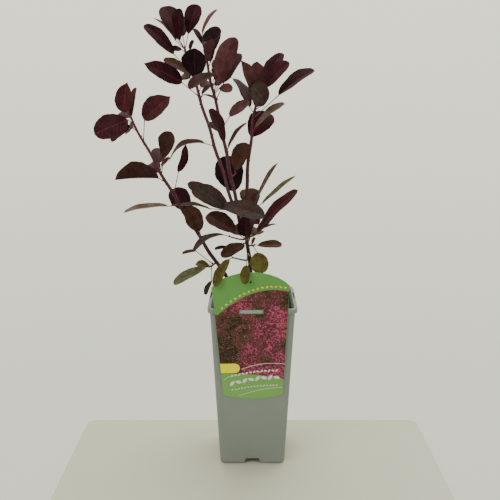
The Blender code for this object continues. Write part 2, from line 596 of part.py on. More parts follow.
class Blade:
    """One leaf: a petiole from its stem and a folded, drooping, rounded blade."""

    def __init__(self, leaf, stem, chance, sway=0):
        self.leaf = leaf
        self.length = leaf.length * MM
        self.width = self.length * BLADE_RATIO * leaf.wide * chance["width"]
        self.form = FORMS[leaf.form]
        self.droop = math.radians(self.form.droop * chance["droop"])
        self.fold = math.radians(self.form.fold * chance["fold"])
        self.ripple = chance["ripple"]
        self.along = direction(leaf.heading, leaf.lean + sway)
        self.root, stem_run, _ = stem.at(leaf.at)
        outward = direction(leaf.heading + leaf.swing, leaf.lean + sway)
        back = min(0.0, float(np.dot(outward, stem_run)))
        self.leaving = unit(outward - back * stem_run + PETIOLE_LIFT * stem_run)
        self.base = self.root + self.leaving * leaf.petiole * MM
        view = direction(-90, 90 - VIEW_LIFT) * np.array((1, 1, -1))
        face = unit(view - self.along * np.dot(view, self.along))
        side = np.cross(self.along, face)
        if side[2] < 0:
            side = -side
        turn = math.radians(leaf.turn)
        self.face = face * math.cos(turn) + side * math.sin(turn)
        self.side = np.cross(self.face, self.along)

    def surface(self, share, across):
        """Points on the blade for shares of its length and of its half width.

        The midrib is an arc that bends away from the face by the droop. Each half
        rises from it at the fold angle, and the margin ripples by a sine wave.
        """
        share, across = np.asarray(share, float)[..., None], np.asarray(across, float)[..., None]
        bend = self.droop * (share - BLADE_PIVOT)
        forward = self.length * (np.sin(bend) + math.sin(BLADE_PIVOT * self.droop)) / self.droop
        sink = self.length * (1 - np.cos(bend) - (1 - math.cos(BLADE_PIVOT * self.droop))) / self.droop
        ends = BASE_WIDTH * (1 - share) + TIP_WIDTH * share
        swell = np.sin(math.pi * np.clip(share, 0, 1) ** self.form.peak) ** self.form.round
        half = (self.width - ends) / 2 * swell + ends / 2
        wave = np.sin(math.pi * (3 * share + self.ripple)) * np.sin(math.pi * share)
        ripple = self.ripple * RIPPLE * self.length * wave * across ** 2
        lift = half * np.abs(across) * math.sin(self.fold) - sink + ripple
        return (self.base + self.along * forward + self.face * lift
                + self.side * half * across * math.cos(self.fold))

    def petiole(self):
        """Points from the stem's axis into the blade: a quadratic curve."""
        sink = self.surface(PETIOLE_SINK / self.length, 0.0)
        knee = self.root + self.leaving * self.leaf.petiole * MM * PETIOLE_KNEE
        shares = np.linspace(0, 1, 3 if self.leaf.petiole > LONG_PETIOLE else 2)[:, None]
        curve = (1 - shares) ** 2 * self.root + 2 * shares * (1 - shares) * knee + shares ** 2 * self.base
        return np.vstack((curve, sink))

    def balls(self):
        """Centres and radii of the balls that stand for the leaf in clearance tests."""
        share, across = np.meshgrid(np.linspace(0, 1, BLADE_BALLS[0]), np.linspace(-1, 1, BLADE_BALLS[1]))
        blade = self.surface(share.ravel(), across.ravel())
        clear = min(1.0, PETIOLE_BARE / (self.leaf.petiole * MM))
        shares = np.linspace(clear, 1, PETIOLE_BALLS)[:, None]
        stalk = self.root * (1 - shares) + self.base * shares
        return np.vstack((blade, stalk)), np.r_[np.full(len(blade), BLADE_BALL),
                                                np.full(len(stalk), PETIOLE_BALL)]


def meets(first, second, closeness=1.0):
    """Whether any ball of one set meets any ball of another."""
    gaps = np.linalg.norm(first[0][:, None] - second[0][None], axis=2)
    return bool((gaps < closeness * (first[1][:, None] + second[1][None])).any())


def plate_balls():
    """Balls over the label's upper part, which leaves hang in front of."""
    place = np.array(label_place())
    u, v = np.meshgrid(np.arange(-LABEL_TOP_HALF, LABEL_TOP_HALF, PLATE_SPACING),
                       np.arange(PLATE_FROM, LABEL_HEIGHT, PLATE_SPACING))
    flat = np.stack((u.ravel(), v.ravel(), np.zeros(u.size), np.ones(u.size)))
    arch = LABEL_HEIGHT - (LABEL_HEIGHT - LABEL_SHOULDER) * (flat[0] / LABEL_TOP_HALF) ** 2
    flat = flat[:, flat[1] <= arch]
    centres = (place @ flat)[:3].T
    return centres, np.full(len(centres), PLATE_BALL)


def rim_balls():
    """Balls round the pot's rim."""
    side = np.arange(-RIM_HALF, RIM_HALF, PLATE_SPACING)
    flat = np.full(side.size, RIM_HALF)
    ring = [np.c_[side, sign * flat] for sign in (-1, 1)] + [np.c_[sign * flat, side] for sign in (-1, 1)]
    ring = np.vstack(ring)
    return np.c_[ring, np.full(len(ring), POT_HEIGHT)], np.full(len(ring), RIM_BALL)


def grow_leaves(stems):
    """Place each row's leaf at the first sway that is clear of all that stands already.

    Returns the leaves of each mass. A leaf that no sway clears is skipped.
    """
    limb_balls = {name: (stem.points[::2], stem.radii[::2] + LIMB_BALL) for name, stem in stems.items()}
    fixed = [plate_balls(), rim_balls()]
    placed, masses = [], {}
    for name, rows in LEAVES.items():
        for index, leaf in enumerate(rows):
            seeded = random.Random(f"{SEED} {name} {index}")
            chance = {trait: seeded.uniform(*span) for trait, span in CHANCES.items()}
            for sway in SWAYS:
                blade = Blade(leaf, stems[name], chance, sway)
                balls = blade.balls()
                if any(meets(balls, other) for other in fixed):
                    continue
                if any(meets(balls, other, SAME_MASS if owner == name else 1.0)
                       for owner, other in limb_balls.items()):
                    continue
                if any(meets(balls, other, SAME_MASS if owner == name else 1.0) for owner, other in placed):
                    continue
                placed.append((name, balls))
                masses.setdefault(name, []).append(blade)
                break
    return masses


def tube(name, points, radii, sides, group):
    """A tapering tube along points, as a welded mesh."""
    curve = bpy.data.curves.new(name, "CURVE")
    curve.dimensions = "3D"
    curve.bevel_depth = 1.0
    curve.bevel_resolution = sides
    curve.use_fill_caps = True
    spline = curve.splines.new("POLY")
    spline.points.add(len(points) - 1)
    for point, place, radius in zip(spline.points, points, radii):
        point.co = (*place, 1)
        point.radius = radius
    return mesh_from_curve(curve, name, group)


def make_limbs(stems, parts):
    """One tapering solid for each limb, up to where its crown takes over."""
    bark = finish("bark", BARK_COLOUR, 0.6)
    for name, limb in LIMBS.items():
        points, radii = stems[name].stretch(0, limb.crown)
        item = tube(name, points, radii, LIMB_SIDES, parts)
        item.data.materials.append(bark)


def blade_object(blade, name, group):
    """The blade as a grid shaped by its surface and given its thickness."""
    bm = bmesh.new()
    bmesh.ops.create_grid(bm, x_segments=BLADE_STATIONS, y_segments=BLADE_ACROSS, size=1.0)
    for vert in bm.verts:
        vert.co = Vector(blade.surface((vert.co.x + 1) / 2, vert.co.y))
    mesh = bpy.data.meshes.new(name)
    bm.to_mesh(mesh)
    bm.free()
    item = bpy.data.objects.new(name, mesh)
    group.objects.link(item)
    solid = item.modifiers.new("thickness", "SOLIDIFY")
    solid.thickness = BLADE_THICK
    solid.offset = 0.0
    return item


def make_mass(name, stem, start, blades, parts):
    """One foliage mass: its stem, petioles and blades joined by one Boolean union."""
    pieces = new_collection(name + "_pieces")
    points, radii = stem.stretch(start, 1.0)
    if start:
        points[0] = points[0] + unit(points[1] - points[0]) * GAP
    core = tube(name, points, radii, CROWN_SIDES if start else TWIG_SIDES, parts)
    for index, blade in enumerate(blades):
        curve = blade.petiole()
        radii = np.append(np.linspace(PETIOLE_RADII[0], PETIOLE_RADII[1], len(curve) - 1), PETIOLE_RADII[2])
        tube(f"{name}_petiole_{index}", curve, radii, TWIG_SIDES, pieces)
        blade_object(blade, f"{name}_blade_{index}", pieces)
    union = core.modifiers.new("union", "BOOLEAN")
    union.operation = "UNION"
    union.operand_type = "COLLECTION"
    union.collection = pieces
    union.solver = "EXACT"
    bpy.context.view_layer.update()
    evaluated = core.evaluated_get(bpy.context.evaluated_depsgraph_get())
    joined = bpy.data.meshes.new_from_object(evaluated)
    core.modifiers.clear()
    core.data = joined
    joined.materials.clear()
    tints = [blade.leaf.tint for blade in blades]
    tint = max(sorted(set(tints)), key=tints.count)
    joined.materials.append(finish(name, TINTS[tint], 0.55))
    for piece in list(pieces.objects):
        bpy.data.objects.remove(piece, do_unlink=True)
    bpy.data.collections.remove(pieces)


def make_plant(parts):
    """The limbs and the foliage masses that stand on them."""
    stems = grow_stems()
    make_limbs(stems, parts)
    for name, blades in grow_leaves(stems).items():
        if name in LIMBS:
            make_mass(name + "_crown", stems[name], LIMBS[name].crown, blades, parts)
        else:
            make_mass(name, stems[name], 0.0, blades, parts)


def main():
    """Build the whole part."""
    clear_scene()
    parts = new_collection("smoke_bush_in_pot")
    cutters = new_collection("cutters")
    make_pot(parts, cutters)
    make_soil(parts)
    make_label(parts)
    make_plant(parts)


if __name__ == "__main__":
    main()
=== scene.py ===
"""The finished look of a young smoke bush in a deep square nursery pot.

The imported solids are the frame, in metres, with +Z up and the label on the -Y side.
The plant grows here by the same plan and rule as its solids: a few limbs, twigs that
leave them, and rows of leaves that are set clear of each other. Each blade is then
carried finer, with its rib, side veins and thin margin, and each limb gets its bark.
"""

import json
import logging
import math
import random
from dataclasses import dataclass
from enum import Enum, IntEnum
from typing import Callable, NamedTuple, Optional, Sequence

import bpy
import numpy as np
from mathutils import Euler, Matrix, Vector

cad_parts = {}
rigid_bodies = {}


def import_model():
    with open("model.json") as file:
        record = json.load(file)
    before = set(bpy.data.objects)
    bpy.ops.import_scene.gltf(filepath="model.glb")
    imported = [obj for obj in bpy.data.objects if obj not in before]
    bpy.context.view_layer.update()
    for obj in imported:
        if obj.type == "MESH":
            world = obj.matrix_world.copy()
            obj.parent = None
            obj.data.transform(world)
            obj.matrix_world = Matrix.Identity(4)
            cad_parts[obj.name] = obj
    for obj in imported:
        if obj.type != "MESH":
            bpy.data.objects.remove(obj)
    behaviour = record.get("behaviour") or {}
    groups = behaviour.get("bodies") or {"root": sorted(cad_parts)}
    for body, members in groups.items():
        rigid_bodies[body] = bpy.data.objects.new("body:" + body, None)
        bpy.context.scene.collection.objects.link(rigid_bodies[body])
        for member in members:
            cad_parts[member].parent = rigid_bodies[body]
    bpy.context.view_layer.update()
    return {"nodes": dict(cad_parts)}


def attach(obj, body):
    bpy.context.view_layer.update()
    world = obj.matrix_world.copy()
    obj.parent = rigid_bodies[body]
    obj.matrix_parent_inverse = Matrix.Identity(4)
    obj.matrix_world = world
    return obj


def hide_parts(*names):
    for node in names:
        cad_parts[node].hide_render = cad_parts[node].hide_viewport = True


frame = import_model()

LOG = logging.getLogger("smoke_bush")
BODY = "root"
MM = 0.001
GAP = 0.3 * MM
SLOPE_GAP = 0.36 * MM
SOIL_TOP = 202.7 * MM
CAMERA_PITCH = 12.4
SEED = 7
DETAIL_SEED = 11
WAVE_COUNT = 7
FULL_TURN = 6.28
BLADE_PLACE = "blade_place"
CHANCES = {"width": (0.95, 1.05), "droop": (0.6, 1.4), "fold": (0.7, 1.4), "ripple": (0.2, 1.0)}

Pair = tuple[float, float]
Triple = tuple[float, float, float]
Colour = Triple
Array = np.ndarray
Balls = tuple[Array, Array]
Line = Callable[[Array], Array]
Socket = bpy.types.NodeSocket
Material = bpy.types.Material
Piece = bpy.types.Object


class Tint(Enum):
    """The leaf colours that the plan deals out."""

    PLUM = "plum"
    BURGUNDY = "burgundy"
    INK = "ink"
    UMBER = "umber"
    BROWN = "brown"
    ROSE = "rose"
    OLIVE = "olive"
    GREEN = "green"
    GREY = "grey"
    PALE = "pale"


@dataclass(frozen=True)
class BladeForm:
    """A kind of blade: half its width is sin(pi s^peak)^round, and its angles are in degrees.

    Its tip draws in over the tip share, to a round end at a taper of a half and to a
    point at one of about one.
    """

    peak: float = 1.18
    round: float = 0.52
    fold: float = 14.0
    droop: float = 24.0
    tip_share: float = 0.05
    tip_taper: float = 0.5


class Form(Enum):
    """The kinds of blade that the plan deals out."""

    OVAL = BladeForm()
    OBOVATE = BladeForm(peak=1.6, round=0.56)
    OVATE = BladeForm(peak=0.84, round=0.68, tip_share=0.24, tip_taper=1.1)
    FOLDED = BladeForm(peak=1.0, round=0.6, fold=38.0)
    ARCHED = BladeForm(peak=1.0, round=0.6, droop=60.0)
    LANCE = BladeForm(peak=1.0, round=0.75, droop=8.0, tip_share=0.14, tip_taper=0.9)


class Limb(NamedTuple):
    """One limb or twig: an arc of named length, heading and lean.

    It leaves its parent at a share of the parent's length. The parent is None for a
    stem that rises from the soil at x = at. Headings are degrees in the XZ plane from
    +X up to +Z, and leans are degrees towards -Y. That x, the length, the radii at both
    ends and the flare, which is the radius added at the foot, are in mm. The crown is
    the share of the limb at which its foliage mass takes over.
    """

    parent: Optional[str]
    at: float
    headings: Pair
    leans: Pair
    length: float
    radii: Pair
    flare: float
    crown: float


class Leaf(NamedTuple):
    """One leaf of the plan: where it stands on its stem and how it is turned.

    It stands at a share of its stem's length. The heading and the lean are the blade's,
    and the petiole's heading differs from it by the swing. The blade is turned about
    its own length. Angles are in degrees, and both lengths are in mm. Wide is a factor
    on the blade's width.
    """

    at: float
    heading: float
    lean: float
    length: float
    petiole: float
    turn: float
    tint: Tint
    wide: float = 1.0
    swing: float = 0.0
    form: Form = Form.OVAL


LIMBS = {
    "trunk": Limb(None, 0, (92, 97), (0, 0), 100, (2.4, 1.9), 1.6, 1.0),
    "left_stem": Limb(None, -10, (125, 115), (2, 7), 280, (2.2, 1.2), 1.2, 0.6),
    "right_bough": Limb("trunk", 1.0, (90, 80), (11, 8), 172, (1.9, 1.2), 0, 0.6),
    "middle_bough": Limb("trunk", 0.95, (100, 102), (12, 3), 244, (2.0, 1.1), 0, 0.45),
    "back_bough": Limb("middle_bough", 0.15, (108, 107), (-15, -7), 218, (1.9, 1.2), 0, 0.36),
}
TWIGS = {
    "front_spray": Limb("trunk", 0.68, (100, 100), (55, 85), 34, (1.3, 0.9), 0, 0),
    "front_left_spray": Limb("trunk", 0.62, (152, 140), (40, 65), 37, (1.2, 0.9), 0, 0),
    "low_right_spray": Limb("trunk", 0.80, (20, 20), (30, 30), 7, (1.2, 1.0), 0, 0),
    "low_left_spray": Limb("trunk", 0.85, (200, 200), (50, 50), 6, (1.2, 1.0), 0, 0),
    "fork_left_spray": Limb("trunk", 0.90, (160, 158), (15, 15), 20, (1.1, 0.9), 0, 0),
    "fork_spray": Limb("trunk", 0.90, (100, 110), (60, 60), 7, (1.2, 1.0), 0, 0),
    "fork_right_spray": Limb("trunk", 0.93, (15, 35), (15, 15), 8, (1.2, 1.0), 0, 0),
    "right_spray": Limb("right_bough", 0.16, (10, 40), (-20, -20), 8, (1.2, 1.0), 0, 0),
    "middle_spray": Limb("middle_bough", 0.17, (165, 160), (55, 45), 15, (1.2, 1.0), 0, 0),
    "middle_back_spray": Limb("middle_bough", 0.20, (100, 110), (-75, -65), 28, (1.2, 1.0), 0, 0),
    "middle_side_spray": Limb("middle_bough", 0.35, (80, 80), (20, 20), 6, (1.2, 1.0), 0, 0),
    "left_low_spray": Limb("left_stem", 0.25, (195, 200), (35, 25), 8, (1.2, 1.0), 0, 0),
    "left_front_spray": Limb("left_stem", 0.40, (80, 110), (60, 40), 7, (1.2, 1.0), 0, 0),
    "left_back_spray": Limb("left_stem", 0.49, (60, 80), (-60, -30), 6, (1.2, 1.0), 0, 0),
    "left_wing_spray": Limb("left_stem", 0.57, (185, 180), (-10, 0), 6, (1.2, 1.0), 0, 0),
    "far_spray": Limb("trunk", 0.84, (60, 70), (-70, -55), 16, (1.3, 1.0), 0, 0),
}
LEAVES = {
    "left_stem": [
        Leaf(0.62, 71, 10, 37, 30, -50, Tint.PLUM, 0.78, -14, Form.OVATE),
        Leaf(0.68, 178, 20, 54, 12, 37, Tint.UMBER, 1.55, -22, Form.FOLDED),
        Leaf(0.72, 74, 12, 35, 22, 30, Tint.UMBER, 1.55, -12, Form.OBOVATE),
        Leaf(0.74, 50, -30, 16, 8, 40, Tint.BURGUNDY),
        Leaf(0.89, 44, -10, 44, 26, 25, Tint.BURGUNDY, 1.5, 26, Form.OVATE),
        Leaf(0.98, 202, 24, 44, 8, 8, Tint.PLUM, 1.45, -32),
        Leaf(0.96, 211, -15, 34, 6, 25, Tint.PLUM),
        Leaf(1.0, 80, 12, 37, 12, 18, Tint.BURGUNDY, 1.3, 76, Form.OVATE),
        Leaf(0.99, 86, -20, 37, 6, 35, Tint.BURGUNDY, 0.6, 12),
        Leaf(0.97, 150, -66, 42, 16, 10, Tint.PLUM),
        Leaf(0.93, 200, -70, 38, 16, 10, Tint.BURGUNDY),
        Leaf(0.74, 95, -64, 40, 14, 10, Tint.PLUM),
        Leaf(0.70, 150, -62, 40, 14, 10, Tint.PLUM),
    ],
    "back_bough": [
        Leaf(0.42, 194, -8, 57, 13, 62, Tint.BROWN, 0.7, -4, Form.ARCHED),
        Leaf(0.70, 45, -30, 24, 8, 50, Tint.PLUM),
        Leaf(0.70, -18, 30, 22, 8, 65, Tint.PLUM),
        Leaf(0.72, 152, 10, 53, 28, 22, Tint.PLUM, 1.0, 6, Form.OVATE),
        Leaf(0.825, 147, 26, 41, 6, 45, Tint.BROWN, 0.9),
        Leaf(0.80, 88, 34, 41, 7, 5, Tint.INK, 1.6, 0, Form.OBOVATE),
        Leaf(0.85, 133, 12, 50, 35, 32, Tint.PLUM, 0.82, 10),
        Leaf(0.985, 172, 0, 14, 6, 15, Tint.INK, 1.1),
        Leaf(0.97, 66, 25, 13, 8, 30, Tint.BURGUNDY, 1.0, -40),
        Leaf(1.0, 111, -16, 48, 17, 20, Tint.PLUM, 1.15, 27, Form.OBOVATE),
        Leaf(1.0, 131, -6, 45, 18, 66, Tint.PLUM, 0.8, 23),
        Leaf(1.0, 89, 18, 39, 13, 25, Tint.PLUM, 0.95, 38, Form.OBOVATE),
        Leaf(1.0, 73, -6, 38, 20, 10, Tint.PLUM, 1.2, -7, Form.OBOVATE),
        Leaf(0.98, 102, -45, 42, 26, 10, Tint.PLUM, 0.8),
        Leaf(0.86, 80, -62, 42, 14, 10, Tint.PLUM),
        Leaf(0.78, 165, -64, 38, 22, 10, Tint.BURGUNDY),
        Leaf(0.74, 30, -62, 40, 14, 10, Tint.PLUM),
    ],
    "middle_bough": [
        Leaf(0.48, 111, 16, 48, 12, 52, Tint.PLUM, 0.95, -8),
        Leaf(0.47, 57, -14, 39, 6, 64, Tint.BROWN, 0.7, -8),
        Leaf(0.58, 40, -12, 30, 20, 32, Tint.ROSE, 1.15, -3),
        Leaf(0.765, 72, 16, 62, 11, 150, Tint.ROSE, 0.88, -38),
        Leaf(0.76, -12, 30, 17, 14, 20, Tint.ROSE, 1.6, -12),
        Leaf(0.84, 208, 24, 38, 9, 45, Tint.UMBER, 1.25, 150),
        Leaf(0.73, 63, -16, 41, 24, 35, Tint.PLUM, 1.1, -16),
        Leaf(0.77, 38, -34, 32, 10, 35, Tint.PLUM),
        Leaf(0.94, 80, -30, 26, 14, 25, Tint.INK, 1.0, -94),
        Leaf(0.89, 90, 34, 29, 9, 145, Tint.BURGUNDY, 1.2, -45),
        Leaf(0.98, 28, 36, 25, 10, 10, Tint.INK, 1.25, 66),
        Leaf(0.98, 118, -18, 22, 6, 40, Tint.INK, 0.8),
        Leaf(1.0, 60, 6, 32, 13, 60, Tint.ROSE, 0.9, 26),
        Leaf(0.96, 60, -60, 34, 14, 10, Tint.PLUM),
        Leaf(0.86, 20, -62, 38, 14, 10, Tint.BURGUNDY),
        Leaf(0.80, 50, -64, 42, 16, 10, Tint.PLUM),
        Leaf(0.54, 130, -60, 36, 12, 10, Tint.PLUM),
    ],
    "right_bough": [
        Leaf(0.64, 51, -10, 42, 12, 15, Tint.BURGUNDY, 1.6, 42),
        Leaf(0.74, 42, 20, 48, 8, 62, Tint.PALE, 0.95, 5),
        Leaf(0.93, 107, 20, 62, 7, 40, Tint.ROSE, 0.8, -10, Form.OVATE),
        Leaf(0.9, 125, 40, 34, 18, 15, Tint.GREY, 1.5, -120),
        Leaf(0.88, 116, -50, 62, 12, 40, Tint.PLUM, 0.6, 60),
        Leaf(1.0, 92, -30, 35, 13, 25, Tint.BURGUNDY, 1.3, 0, Form.OVATE),
        Leaf(1.0, 60, -18, 49, 14, 25, Tint.PLUM, 0.75),
        Leaf(0.92, 50, 16, 39, 29, 38, Tint.BURGUNDY, 1.25, 3),
        Leaf(0.84, 37, 0, 52, 41, 50, Tint.PLUM, 1.0, -13),
        Leaf(0.98, 80, -60, 40, 14, 10, Tint.PLUM),
        Leaf(0.88, 62, -62, 36, 10, 10, Tint.PLUM),
        Leaf(0.68, 45, -62, 40, 14, 10, Tint.BURGUNDY),
        Leaf(0.96, 78, -58, 38, 16, 10, Tint.PLUM),
    ],
    "front_spray": [Leaf(1.0, -96, 40, 26, 21, 15, Tint.OLIVE)],
    "front_left_spray": [Leaf(1.0, 238, 44, 43, 8, 38, Tint.OLIVE, 0.75, -38)],
    "low_right_spray": [
        Leaf(1.0, 5, 20, 32, 6, 54, Tint.BROWN, 1.05),
        Leaf(0.9, -80, 32, 28, 13, 5, Tint.OLIVE, 1.7),
        Leaf(0.5, 70, -15, 9, 3, 30, Tint.OLIVE),
    ],
    "low_left_spray": [
        Leaf(1.0, 200, 34, 36, 4, 38, Tint.BROWN, 1.15, 170),
        Leaf(1.0, 190, -8, 15, 22, 50, Tint.PLUM, 1.0, -5),
    ],
    "fork_left_spray": [Leaf(1.0, 194, 20, 50, 9, 66, Tint.GREY, 0.75, -40, Form.ARCHED)],
    "fork_spray": [
        Leaf(1.0, 90, 44, 40, 9, 20, Tint.PLUM),
        Leaf(1.0, 151, -24, 46, 17, 30, Tint.UMBER, 1.2),
    ],
    "fork_right_spray": [
        Leaf(1.0, 51, 12, 77, 6, 52, Tint.BURGUNDY, 0.6),
        Leaf(0.9, 20, -20, 20, 15, 66, Tint.PLUM, 0.7, 22),
        Leaf(1.0, 146, -60, 42, 18, 10, Tint.PLUM),
    ],
    "right_spray": [
        Leaf(1.0, 39, -12, 56, 15, 62, Tint.GREEN, 0.45, -17, Form.LANCE),
        Leaf(0.9, 62, 8, 56, 13, 70, Tint.PALE, 0.55, 14, Form.LANCE),
        Leaf(0.8, 112, -40, 31, 4, 15, Tint.BROWN, 1.9, -60),
    ],
    "middle_spray": [
        Leaf(0.8, -10, 20, 56, 14, 45, Tint.GREY, 1.1, 150),
        Leaf(1.0, 138, 26, 62, 8, 30, Tint.GREY, 0.62),
        Leaf(1.0, 165, 26, 40, 27, 70, Tint.GREY, 0.6, 8),
        Leaf(0.8, 150, -25, 57, 4, 20, Tint.UMBER, 1.0),
    ],
    "middle_back_spray": [
        Leaf(1.0, 107, -8, 47, 2, 15, Tint.INK, 1.65),
        Leaf(1.0, 135, -50, 44, 6, 20, Tint.INK),
    ],
    "middle_side_spray": [Leaf(1.0, 63, 24, 38, 8, 30, Tint.BROWN, 1.3, 45)],
    "left_low_spray": [
        Leaf(1.0, 203, 16, 46, 7, 52, Tint.GREEN, 0.85, -24),
        Leaf(0.9, 172, -10, 22, 4, 30, Tint.OLIVE, 1.0, 20),
        Leaf(0.8, 243, 35, 20, 22, 50, Tint.GREY, 1.1, 58),
        Leaf(0.4, 186, 10, 17, 36, 50, Tint.BROWN, 0.8, -86),
    ],
    "left_front_spray": [Leaf(1.0, 113, 20, 38, 6, 15, Tint.BROWN, 1.2, -25)],
    "left_back_spray": [Leaf(1.0, 128, -20, 38, 6, 15, Tint.PLUM, 1.5)],
    "left_wing_spray": [Leaf(1.0, 185, 4, 56, 7, 68, Tint.PALE, 0.8)],
    "far_spray": [
        Leaf(1.0, 112, -66, 48, 14, 10, Tint.PLUM),
        Leaf(0.8, 10, -70, 44, 12, 20, Tint.BROWN),
        Leaf(0.6, 165, -72, 42, 16, 20, Tint.PLUM),
    ],
}


def direction(heading: float, lean: float) -> Array:
    """Unit vector for a heading in the XZ plane and a lean towards -Y, in degrees."""
    turn, tip = math.radians(heading), math.radians(lean)
    return np.array((math.cos(turn) * math.cos(tip), -math.sin(tip), math.sin(turn) * math.cos(tip)))


def unit(vectors: Array) -> Array:
    """The vector or vectors at length one."""
    return vectors / np.linalg.norm(vectors, axis=-1, keepdims=True)


def between(ends: Pair, share: Array) -> Array:
    """The value at a share of the way from one end to the other."""
    return ends[0] + (ends[1] - ends[0]) * share


def turned(x: Array, y: Array, angle: float) -> tuple[Array, Array]:
    """Places in a plane, turned by an angle in radians."""
    cos, sin = math.cos(angle), math.sin(angle)
    return x * cos - y * sin, x * sin + y * cos


def squarish(count: int, power: float) -> Array:
    """Points round a superellipse, |x|^power + |y|^power = 1."""
    turns = np.linspace(0, 2 * math.pi, count, endpoint=False)
    circle = np.stack((np.cos(turns), np.sin(turns)), -1)
    return circle * (np.abs(circle) ** power).sum(-1, keepdims=True) ** (-1 / power)


def waves(places: Array, wavelength: float, seed: int) -> Array:
    """Smooth pseudo-random relief: sine waves along random directions, summed.

    The sum is divided by the root of their count, so that it stays within about -1 to 1.

    Args:
        places: Points, with their coordinates on the last axis.
        wavelength: Typical distance from crest to crest.
        seed: Seed of the directions and phases.

    Returns:
        One value for each point.
    """
    chance = np.random.default_rng(seed)
    turns = unit(chance.normal(size=(WAVE_COUNT, places.shape[-1])))
    pace = 2 * math.pi / (wavelength * chance.uniform(0.7, 1.5, WAVE_COUNT))
    phases = chance.uniform(0, FULL_TURN, WAVE_COUNT)
    return np.sin(places @ (turns * pace[:, None]).T + phases).sum(-1) / math.sqrt(WAVE_COUNT)


def put_in_scene(name: str, data: bpy.types.ID) -> Piece:
    """A new object that holds the data, linked to the scene."""
    item = bpy.data.objects.new(name, data)
    bpy.context.scene.collection.objects.link(item)
    return item


class Joined:
    """One mesh gathered from closed patches, each made of whole arrays."""

    def __init__(self) -> None:
        self.points: list[Array] = []
        self.quads: list[Array] = []
        self.quad_marks: list[Array] = []
        self.corners: list[Array] = []
        self.corner_marks: list[Array] = []
        self.places: list[Array] = []
        self.count = 0

    def add(self, points: Array, quads: Array, marks: Array, places: Optional[Array] = None) -> int:
        """Add points and four-sided faces, and return the number of the first point."""
        first = self.count
        self.points.append(points.reshape(-1, 3))
        self.places.append(np.zeros(self.points[-1].shape) if places is None else places)
        self.count += len(self.points[-1])
        self.quads.append(quads + first)
        self.quad_marks.append(marks)
        return first

    def tube(self, rings: Array, mark: int = 0) -> None:
        """Close rings of points into a tube whose two ends draw in to a middle point.

        Args:
            rings: Points in an array of rings, points round and XYZ.
            mark: Number of the material.
        """
        count, around = rings.shape[:2]
        ring, step = np.meshgrid(np.arange(count - 1), np.arange(around), indexing="ij")
        low, side = ring * around + step, ring * around + (step + 1) % around
        quads = np.stack((low, side, side + around, low + around), -1).reshape(-1, 4)
        poles = np.stack((rings[0].mean(0), rings[-1].mean(0)))
        first = self.add(np.vstack((rings.reshape(-1, 3), poles)), quads, np.full(len(quads), mark))
        here = np.arange(around)
        after = (here + 1) % around
        last, pole = (count - 1) * around, np.full(around, count * around)
        fans = np.vstack((np.stack((after, here, pole), -1),
                          np.stack((last + here, last + after, pole + 1), -1)))
        self.corners.append(fans + first)
        self.corner_marks.append(np.full(len(fans), mark))

    def slab(self, upper: Array, lower: Array, upper_marks: Array, lower_mark: int,
             places: Optional[Array] = None) -> None:
        """Close two grids that lie over each other into one thin solid.

        Args:
            upper: Rows by columns of points on top.
            lower: The same for the underside.
            upper_marks: Material number for each column of faces on top.
            lower_mark: Material number below and along the margin.
            places: Three numbers that each point tells its material, if any.
        """
        rows, columns = upper.shape[:2]
        row, column = np.meshgrid(np.arange(rows - 1), np.arange(columns - 1), indexing="ij")
        low = row * columns + column
        top = np.stack((low, low + 1, low + 1 + columns, low + columns), -1).reshape(-1, 4)
        under = rows * columns
        edge = np.concatenate((np.arange(columns), np.arange(1, rows) * columns + columns - 1,
                               (rows - 1) * columns + np.arange(columns - 2, -1, -1),
                               np.arange(rows - 2, 0, -1) * columns))
        after = np.roll(edge, -1)
        rim = np.stack((after, edge, edge + under, after + under), -1)
        quads = np.vstack((top, top[:, ::-1] + under, rim))
        marks = np.concatenate((np.tile(upper_marks, rows - 1), np.full(len(top) + len(rim), lower_mark)))
        told = None if places is None else np.tile(places.reshape(-1, 3), (2, 1))
        self.add(np.vstack((upper.reshape(-1, 3), lower.reshape(-1, 3))), quads, marks, told)

    def build(self, name: str, materials: Sequence[Material], sharp: float = 180.0) -> Piece:
        """Put the arrays into one mesh object.

        Args:
            name: Name of the piece.
            materials: Materials by mark.
            sharp: Angle in degrees over which an edge stays sharp.

        Returns:
            The object, at the origin and linked to the scene.
        """
        mesh = bpy.data.meshes.new(name)
        points = np.vstack(self.points)
        quads = np.vstack(self.quads)
        corners = np.vstack(self.corners) if self.corners else np.empty((0, 3), int)
        mesh.vertices.add(len(points))
        mesh.vertices.foreach_set("co", points.astype(np.float32).ravel())
        loops = np.concatenate((quads.ravel(), corners.ravel()))
        totals = np.concatenate((np.full(len(quads), 4), np.full(len(corners), 3)))
        mesh.loops.add(len(loops))
        mesh.loops.foreach_set("vertex_index", loops.astype(np.int32))
        mesh.polygons.add(len(totals))
        mesh.polygons.foreach_set("loop_start", (np.cumsum(totals) - totals).astype(np.int32))
        mesh.polygons.foreach_set("loop_total", totals.astype(np.int32))
        marks = np.concatenate([*self.quad_marks, *self.corner_marks])
        for material in materials:
            mesh.materials.append(material)
        mesh.polygons.foreach_set("material_index", marks.astype(np.int32))
        places = np.vstack(self.places)
        if places.any():
            told = mesh.attributes.new(BLADE_PLACE, "FLOAT_VECTOR", "POINT")
            told.data.foreach_set("vector", places.astype(np.float32).ravel())
        mesh.update(calc_edges=True)
        mesh.validate()
        mesh.shade_smooth()
        if sharp < 180.0:
            mesh.set_sharp_from_angle(angle=math.radians(sharp))
        return put_in_scene(name, mesh)


def dress(item: Piece, slot: str, *nodes: str) -> None:
    """Fix a finished piece to the plant's body and report it.

    Args:
        item: The piece.
        slot: The record's material slot; it is not used.
        *nodes: Solids that it stands for.
    """
    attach(item, BODY)
    if nodes:
        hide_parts(*nodes)
    LOG.info("%s: %d faces", item.name, len(item.data.polygons))


